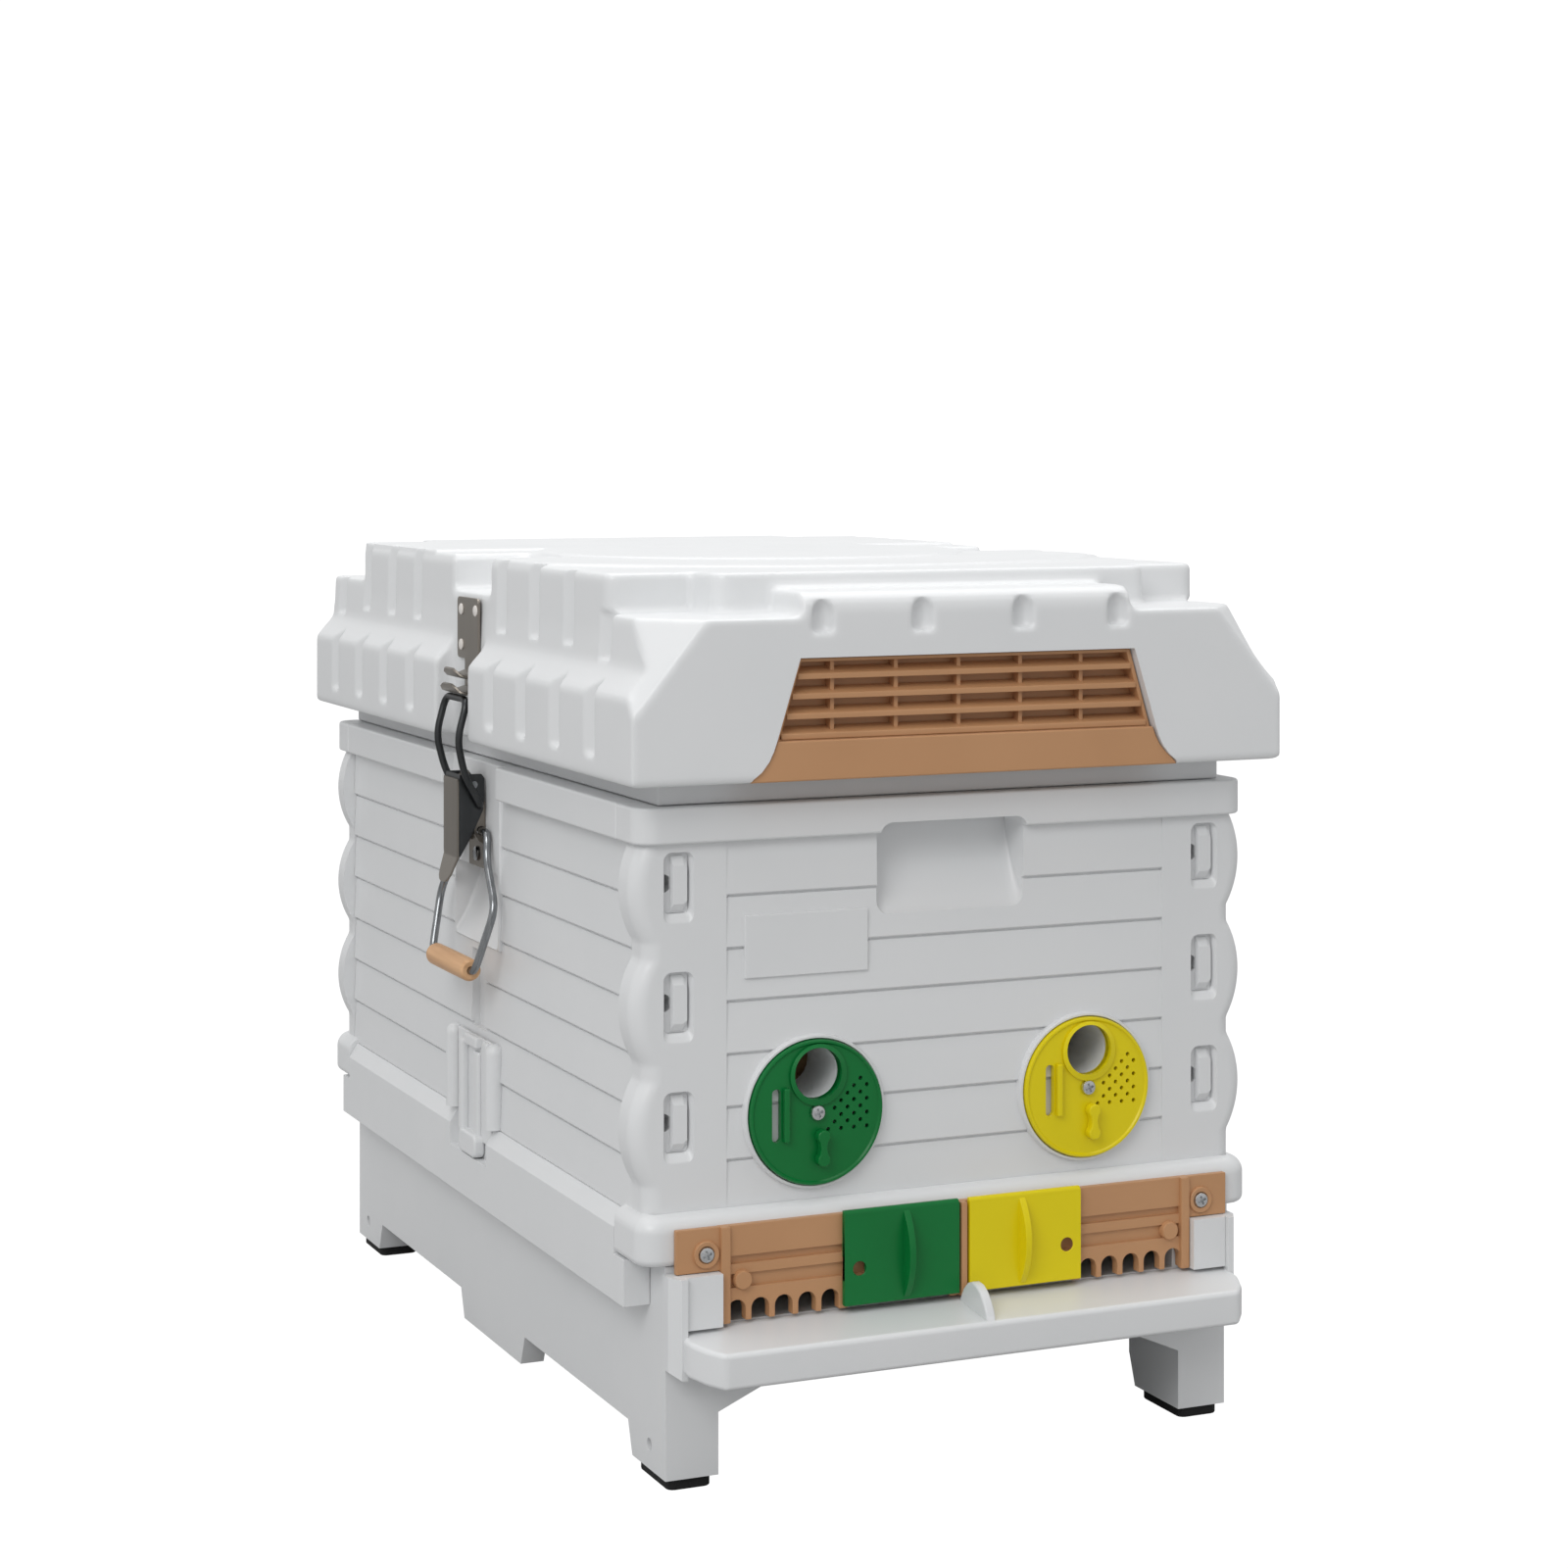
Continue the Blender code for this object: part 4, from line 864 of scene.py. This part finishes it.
# ---- entrance ----------------------------------------------------------------
def gate_outline():
    """The plate's edge: screw tabs at the ends and arches along the foot."""
    low, foot, shoulder = 84.9, 85.3, 95.5
    right = [(7, low), (7, shoulder), (66, shoulder), (66, foot)]
    for index in range(5):
        centre = 76 + ARCH_PITCH * index
        right.append((centre - ARCH_HALF, foot))
        right += arc((centre, 91.2), ARCH_HALF, 180, 0, 10)
        right.append((centre + ARCH_HALF, foot))
    right += [(GATE_EDGE, low), (GATE_EDGE, 112), (161.8, 112), (161.8, 134.4)]
    return right + [(-x, z) for x, z in reversed(right)]


def make_entrance():
    """Entrance plate: tabs, ribs, two grooves, knobs and rows of arches."""
    plate = soften(prism("entrance_moulding", gate_outline(), "y", -12.3, -6.2), 0.5, 2, 40)
    tools = []
    for side, _ in SIDES:
        tools.append(box("groove", span(side, 4, 132.4), (-20, -10.2), (114.6, 118.8)))
        tools.append(box("groove", span(side, 4, 132.4), (-20, -10.4), (102.4, 109.6)))
        tools.append(box("groove", span(side, 138, 170), (-9.3, 0), (100, 140)))
    cut(plate, *tools)
    knob = [(0, -9.5), (5.0, -9.5), (5.0, -14.0), (4.4, -14.8), (0, -14.8)]
    boss = [(4.4, -10), (4.4, -13.3), (4.9, -13.7), (6.6, -13.7), (7.1, -13.2), (7.3, -10)]
    screw_x, screw_z = GATE_SCREW
    parts = [plate]
    for side, _ in SIDES:
        rib = box("rib", span(side, 132.6, GATE_EDGE), (-14.4, -10), (85.0, 134.3))
        parts.append(soften(rib, 0.6, 2, 40))
        parts.append(turn_profile("knob", knob, (side * 125.6, 106.4), "y", 32))
        parts.append(turn_profile("boss", boss, (side * screw_x, screw_z), "y", 40))
    parts.append(soften(box("divider", (-1.7, 1.7), (-15.8, -10), (85, 134.3)), 0.4, 2, 40))
    gate = polish(merged("entrance_gate", parts))
    return dress(gate, "base", TAN, "tan_plastic", "entrance_plate", "entrance_comb_left",
                 "entrance_comb_right")


def make_slider(side, word):
    """Sliding shutter with a bowed finger grip and a peg hole."""
    x = span(side, 3.0, 69.5)
    plate = prism("slider_moulding_" + word, [(-16.2, 87.0), (-12.7, 87.0), (-12.7, 136.3),
                                              (-14.6, 136.3), (-16.2, 134.2)], "x", *x)
    hole = prism("hole", circle((side * 61.0, 106.0), 3.7, 28), "y", -30, 0)
    relief = box("relief", span(side, 57, 80), (-15.3, 0), (100.5, 112.0))
    soften(cut(plate, hole, relief), 0.7, 3, 40)
    bow = arc((11.8, 111.0), 36.0, 141, 219, 24)
    bow += [(-15.5, bow[-1][1]), (-15.5, bow[0][1])]
    middle = side * 34.0
    grip = soften(prism("grip", bow, "x", middle - 1.8, middle + 1.8), 0.9, 3, 40)
    piece = polish(merged("slider_shutter_" + word, [plate, grip]))
    return dress(piece, "slider_" + word, *SIDE_PLASTIC[word], "slider_" + word)


def make_disc(side, word):
    """Entrance disc: rim, port with collar, hole field, slot, rib and tab."""
    x, z = side * DISC_X, DISC_Z
    port_z = z + PORT_RISE
    profile = [(0, -0.4), (37.3, -0.4), (37.7, -0.9), (37.7, -4.1), (37.2, -4.8), (36.2, -4.8),
               (35.4, -3.9), (0, -3.9)]
    disc = turn_profile("disc_moulding_" + word, profile, (x, z), "y", 96)
    tools = [prism("port", circle((x, port_z), PORT_RADIUS, 48), "y", -20, 5),
             prism("pin", circle((x, z), 2.3, 16), "y", -20, 5),
             prism("slot", round_box((x - 25.2, z - 14), (x - 20.2, z + 13.6), 2.3, 5),
                   "y", -20, 5)]
    for row in range(8):
        for column in range(4):
            hx = x + 6.6 + column * 7.4 + (row % 2) * 3.7
            hz = z - 9.4 + row * 3.6
            reach = math.hypot(hx - x, hz - z)
            if 7 < reach < 31.5 and math.hypot(hx - x, hz - port_z) > 18.3:
                tools.append(prism("hole", circle((hx, hz), 1.15, 14), "y", -20, 5))
    cut(disc, *tools)
    inner = circle((x, port_z), PORT_RADIUS, 48)
    outer = circle((x + 0.6, port_z - 0.8), PORT_RADIUS + 2.6, 48)
    rings = []
    for outline, y in ((inner, -0.8), (inner, -6.4), (outer, -5.4), (outer, -3.8)):
        rings.append([(a, y, b) for a, b in outline])
    collar = loft("collar", rings, True)
    rib = soften(box("rib", (x - 19.4, x - 16.2), (-7.2, -4.0), (z - 14, z + 14)), 0.8, 3, 40)
    bar = arc((x + 2.2, z - 12.2), 3.6, -50, 230, 12) + [(x + 0.4, z - 18.2)]
    bar += arc((x + 2.2, z - 24.2), 3.6, 130, 410, 12) + [(x + 4.0, z - 18.2)]
    tab = soften(prism("tab", bar, "y", -9.4, -4.0), 0.9, 3, 40)
    piece = polish(merged("disc_wheel_" + word, [disc, collar, rib, tab]))
    return dress(piece, "disc_" + word, *SIDE_PLASTIC[word], "disc_" + word)


def cross_head(name, centre, face, radius):
    """Pan-head screw facing the front, with a cross recess."""
    profile = [(0, face + 2.4), (radius, face + 2.4), (radius, face + 1.1),
               (radius * 0.9, face + 0.5), (radius * 0.55, face + 0.1), (0, face)]
    head = turn_profile(name, profile, centre, "y", 36)
    arms = []
    for turn in (20, 110):
        c, s = math.cos(math.radians(turn)), math.sin(math.radians(turn))
        arm = [(centre[0] + a * c - b * s, centre[1] + a * s + b * c) for a, b in
               ((-radius * 0.62, -0.62), (radius * 0.62, -0.62), (radius * 0.62, 0.62),
                (-radius * 0.62, 0.62))]
        arms.append(prism("arm", arm, "y", face - 2, face + 1.8))
    return polish(cut(head, *arms), 35)


def make_screws():
    """Screws of the entrance plate and pivot screws of the discs."""
    screw_x, screw_z = GATE_SCREW
    for side, word in SIDES:
        screw = cross_head("gate_screw_" + word, (side * screw_x, screw_z), -14.6, 4.1)
        dress(screw, "base", ZINC, "zinc_screw", "entrance_screw_" + word)
        screw = cross_head("pivot_screw_" + word, (side * DISC_X, DISC_Z), -6.9, 4.0)
        dress(screw, "brood_box", ZINC, "zinc_screw", "disc_screw_" + word)


# ---- latch -------------------------------------------------------------------
def side_head(name, side, y, z, face, radius):
    """Pan-head screw facing sideways."""
    profile = [(0, face - 1.4), (radius, face - 1.4), (radius, face - 0.6),
               (radius * 0.8, face - 0.15), (0, face)]
    return turn_profile(name, [(r, side * a) for r, a in profile], (y, z), "x", 28)


def strip(name, side, path, thick):
    """A sheet strip along (x, z, half width) points, with rounded long edges."""
    rings = []
    for index, (x, z, half) in enumerate(path):
        dx, dz = heading(path, index)
        nx, nz = dz * thick / 2, -dx * thick / 2
        ring = []
        for across, out in ((-half, -0.6), (-half + 0.5, -1), (half - 0.5, -1), (half, -0.6),
                            (half, 0.6), (half - 0.5, 1), (-half + 0.5, 1), (-half, 0.6)):
            ring.append((side * (x + nx * out), LATCH_Y + across, z + nz * out))
        rings.append(ring)
    return loft(name, rings)


def make_hook(side, word):
    """Roof hook: a screwed plate whose neck carries a curled tab and a lip."""
    outline = [(-9, 391), (9, 391), (9, 407)] + arc((20, 410), 3, -90, 0, 4)
    outline += arc((20, 440), 3, 0, 90, 4) + arc((-12.5, 440), 3, 90, 180, 4)
    outline += arc((-12.5, 410), 3, 180, 270, 4) + [(-9, 407)]
    face = [(LATCH_Y + y, z) for y, z in outline]
    plate = soften(prism("roof_hook_" + word, face, "x", *span(side, 178.8, 180.6)), 0.5, 3, 30)
    curl = [(179.6, 400.2, 9), (183, 398.2, 12.8), (186.5, 397.2, 14.4), (189.6, 398.2, 14.2),
            (192.0, 400.4, 12.0), (193.0, 402.4, 7.4)]
    lip = [(179.6, 390.8, 10), (184, 388.6, 15), (188.0, 388.0, 17.6), (191.4, 389.2, 17.0),
           (193.4, 391.6, 13.8), (194.0, 393.4, 8)]
    hook = merged("roof_hook_plate_" + word, [
        plate, strip("curl", side, curl, 1.7), strip("lip", side, lip, 1.7)])
    dress(polish(hook), "roof", STEEL, "stainless_steel", "hook_plate_" + word)
    heads = [side_head("head", side, LATCH_Y + y, z, 181.7, 3.3)
             for y, z in ((-11.8, 435.8), (14.6, 435.8), (14.6, 415))]
    dress(polish(merged("hook_screws_" + word, heads), 50), "roof", PALE, "zinc_screw")


def cross_pin(side, place, reach, radius):
    """Pin through a bracket at an (x, z) place, along the hive."""
    profile = [(0, -reach), (radius, -reach), (radius, reach), (0, reach)]
    pin = turn_profile("pin", profile, (0, 0), "y", 20)
    pin.data.transform(Matrix.Translation(put(side * place[0], LATCH_Y, place[1]) - put(0, 0, 0)))
    return pin


def make_bracket(side, word):
    """Bracket of the lever and the bail, open behind the lever's cheeks, and its pins."""
    bracket = cut(remade("latch_bracket_" + word, "bracket_" + word),
                  box("trim", span(side, 170, 177.5), (LATCH_Y - 20, LATCH_Y + 20), (325, 350)))
    polish(soften(bracket, 0.3, 2, 30))
    dress(bracket, "brood_box", STEEL, "stainless_steel", "latch_bracket_" + word)
    small = [side_head("bracket_head", side, LATCH_Y, 293.5, 177.6, 4.2),
             cross_pin(side, LEVER_PIVOT, 13.3, 2.2),
             cross_pin(side, BAIL_PIVOT, 12.0, 2.1)]
    dress(polish(merged("bracket_pins_" + word, small), 50), "brood_box", WIRE, "zinc_screw")


def make_lever(side, word):
    """Folded lever: dark cheeks behind a paler face strip with a thumb tip."""
    half, inner_x = 13.0, 189.6
    cheek = [(190.2, 293.5), (191.0, 293.5), (191.0, 337.6), (190.6, 341.2), (177.4, 341.2),
             (175.5, 338.6), (175.5, 328.0), (176.4, 320.0), (184.0, 304.0)]
    channel = [(inner_x, 270.0), (inner_x, 345.0), (170, 345.0), (170, 270.0)]
    shell = cut(prism("lever_cheeks_" + word, mirrored(cheek, side), "y",
                      LATCH_Y - half, LATCH_Y + half),
                prism("channel", mirrored(channel, side), "y",
                      LATCH_Y - half + 1.4, LATCH_Y + half - 1.4))
    polish(soften(shell, 0.3, 2, 35))
    dress(shell, "lever_" + word, DARK, "dark_steel", "latch_lever_" + word)
    front = [(191.5, 338.6, 12.6), (191.6, 337.0, 13.1), (191.6, 296.0, 13.1), (191.5, 293.4, 13.0),
             (191.9, 292.2, 12.8), (195.0, 283.4, 10.6), (196.0, 280.8, 8.6), (196.6, 279.0, 6.0),
             (196.9, 278.2, 2.8)]
    face = polish(strip("lever_face_" + word, side, front, 1.3), 50)
    dress(face, "lever_" + word, STEEL, "dark_steel")


def make_loop(side, word):
    """Wire loop from the lever's cheeks up to the hook's lip."""
    x, z = LOOP_PIVOT
    half = [(x, 13.2, z), (x, 16.0, z), (189.4, 18.4, 341), (194.4, 20.0, 362),
            (188.4, 20.0, 385.0)]
    corners = [(x, -y, z) for x, y, z in half] + list(reversed(half))
    path = rounded_path([(side * x, LATCH_Y + y, z) for x, y, z in corners], 8.0, 10)
    loop = tube("wire_loop_" + word, path, 2.1)
    dress(polish(loop, 50), "loop_" + word, DARK, "dark_steel", "latch_loop_" + word)


def make_bail(side, word):
    """Carrying bail: a bent wire and a barrel-shaped wooden grip."""
    x, z = BAIL_PIVOT
    grip_x, grip_z = GRIP_AT
    half = [(x, 11.6, z), (x, 23, z), (178.4, 25, 293), (181.6, 50, 268),
            (grip_x, 40, grip_z), (grip_x, 30, grip_z)]
    arms = []
    for sign in (-1, 1):
        arms.append(rounded_path([(side * x, LATCH_Y + sign * y, z) for x, y, z in half], 9.0, 8))
    bail = tube("bail_wire_" + word, arms[0] + list(reversed(arms[1])), 2.3)
    dress(polish(bail, 50), "handle_" + word, WIRE, "dark_steel", "handle_wire_" + word)
    end = [(2.5, GRIP_HALF), (5.0, GRIP_HALF), (5.9, GRIP_HALF - 0.8), (6.4, GRIP_HALF - 2.6)]
    profile = [(r, -along) for r, along in end] + [(6.5, 0)] + list(reversed(end))
    grip = turn_profile("wooden_grip_" + word, [(r, LATCH_Y + along) for r, along in profile],
                        (side * grip_x, grip_z), "y", 40)
    dress(polish(grip, 40), "handle_" + word, BEECH, "beech", "handle_grip_" + word)


def make_slide_lock(side, word):
    """Slide between the guides: plate, rounded ribs, top lug and foot tab."""
    plate = soften(box("plate", span(side, 173.9, 175.5), (PAD_Y - 30.6, PAD_Y + 30.6),
                       (126.0, 186.4)), 0.5, 3, 40)
    pieces = [plate]
    for offset, half, low, high, out in (
            (14.0, 3.2, 122.0, 183.0, 180.0), (-8.0, 4.6, 120.0, 178.0, 178.0),
            (-24.0, 3.4, 152.0, 186.0, 177.6)):
        strap = box("strap", span(side, 174.5, out),
                    (PAD_Y + offset - half, PAD_Y + offset + half), (low, high))
        pieces.append(soften(strap, 2.2, 4, 40))
    lug = box("lug", span(side, 174.5, 179.4), (PAD_Y - 13, PAD_Y + 9), (180.0, 187.0))
    pieces.append(soften(lug, 1.6, 4, 40))
    tab = prism("tab", round_box((PAD_Y - 15, 116.6), (PAD_Y + 15, 130), 4.5, 5), "x",
                *span(side, 174.0, 180.6))
    pieces.append(soften(tab, 1.6, 4, 40))
    lock = polish(merged("lock_slide_" + word, pieces), 50)
    white(lock, "slide_lock_" + word, "slide_lock_" + word)


def make_inside():
    """Frames, and the inner cover whose edge shows as a collar."""
    for index in range(1, 8):
        node = "frame_" + str(index)
        bar = polish(soften(remade(node, "hanging_" + node), 0.6, 2, 30))
        dress(bar, "brood_box", PINE, "pine", node)
    cover = polish(soften(remade("inner_cover", "inner_cover_board"), 1.2, 3, 30))
    white(cover, "brood_box", "inner_cover")


make_roof()
make_vent()
make_end_wall(True)
make_end_wall(False)
make_front_trim()
make_keys()
make_base()
make_landing_board()
make_end_rail(True)
make_end_rail(False)
make_entrance()
make_screws()
make_inside()
for side, word in SIDES:
    for make in (make_side_wall, make_side_rail, make_slider, make_disc, make_hook, make_bracket,
                 make_lever, make_loop, make_bail, make_slide_lock):
        make(side, word)


# ---- stage -------------------------------------------------------------------
def only_for_camera(tree, share, plain, seen, output):
    """Mix two shader outputs so that camera rays see the second one."""
    path = tree.nodes.new("ShaderNodeLightPath")
    part = node_at(tree, "ShaderNodeMath", operation="MULTIPLY")
    part.inputs[1].default_value = share
    mix = tree.nodes.new("ShaderNodeMixShader")
    tree.links.new(path.outputs["Is Camera Ray"], part.inputs[0])
    tree.links.new(part.outputs["Value"], mix.inputs["Fac"])
    tree.links.new(plain, mix.inputs[1])
    tree.links.new(seen, mix.inputs[2])
    tree.links.new(mix.outputs["Shader"], output.inputs["Surface"])


def make_floor():
    """Pale paper floor that keeps a trace of the object's shadow."""
    reach = 6000
    floor = add("floor", mesh_from("floor", [(-reach, -reach, 0), (reach, -reach, 0),
                                             (reach, reach, 0), (-reach, reach, 0)],
                                   [(0, 1, 2, 3)]))
    look, tree, shader, place = base_material("floor_paper")
    tint = mixed_colour(tree, noise(tree, place, 3.0, 2.0), (0.40, 0.40, 0.40), (0.42, 0.42, 0.42))
    tree.links.new(tint, shader.inputs["Base Color"])
    shader.inputs["Roughness"].default_value = 0.9
    glow = node_at(tree, "ShaderNodeEmission", Strength=1.12)
    only_for_camera(tree, 0.93, shader.outputs["BSDF"], glow.outputs["Emission"],
                    tree.nodes["Material Output"])
    floor.data.materials.append(look)


def make_world():
    """Soft sky light; the camera itself sees plain white."""
    world = bpy.data.worlds.new("studio")
    world.use_nodes = True
    tree = world.node_tree
    sky = tree.nodes["Background"]
    sky.inputs["Color"].default_value = (0.99, 0.995, 1, 1)
    sky.inputs["Strength"].default_value = 0.62
    seen = node_at(tree, "ShaderNodeBackground", Color=(1, 1, 1, 1), Strength=1.1)
    only_for_camera(tree, 1.0, sky.outputs["Background"], seen.outputs["Background"],
                    tree.nodes["World Output"])
    bpy.context.scene.world = world


def make_lights():
    """A large soft light overhead and a smaller one from the front left."""
    for name, place, size, power in (
            ("top_light", (0.2, 0.2, 2.4), 2.4, 33.0),
            ("key_light", (-2.2, -2.0, 2.2), 1.6, 36.0)):
        lamp = bpy.data.lights.new(name, "AREA")
        lamp.shape = "SQUARE"
        lamp.size = size
        lamp.energy = power
        holder = bpy.data.objects.new(name, lamp)
        holder.location = place
        aim = Vector((0, 0, 0.25)) - Vector(place)
        holder.rotation_euler = aim.to_track_quat("-Z", "Y").to_euler()
        bpy.context.scene.collection.objects.link(holder)


def make_camera():
    """Level camera ahead and to the left, framed by a downward lens shift."""
    lens = bpy.data.cameras.new("camera")
    lens.lens = 72.72
    lens.sensor_width = 36.0
    lens.shift_y = -0.2184
    camera = bpy.data.objects.new("camera", lens)
    camera.location = (-0.7572, -1.7615, 0.5342)
    camera.rotation_euler = (math.radians(90), 0, math.radians(-23.741))
    bpy.context.scene.collection.objects.link(camera)
    bpy.context.scene.camera = camera


make_floor()
make_world()
make_lights()
make_camera()
bpy.context.scene.view_settings.view_transform = "Standard"
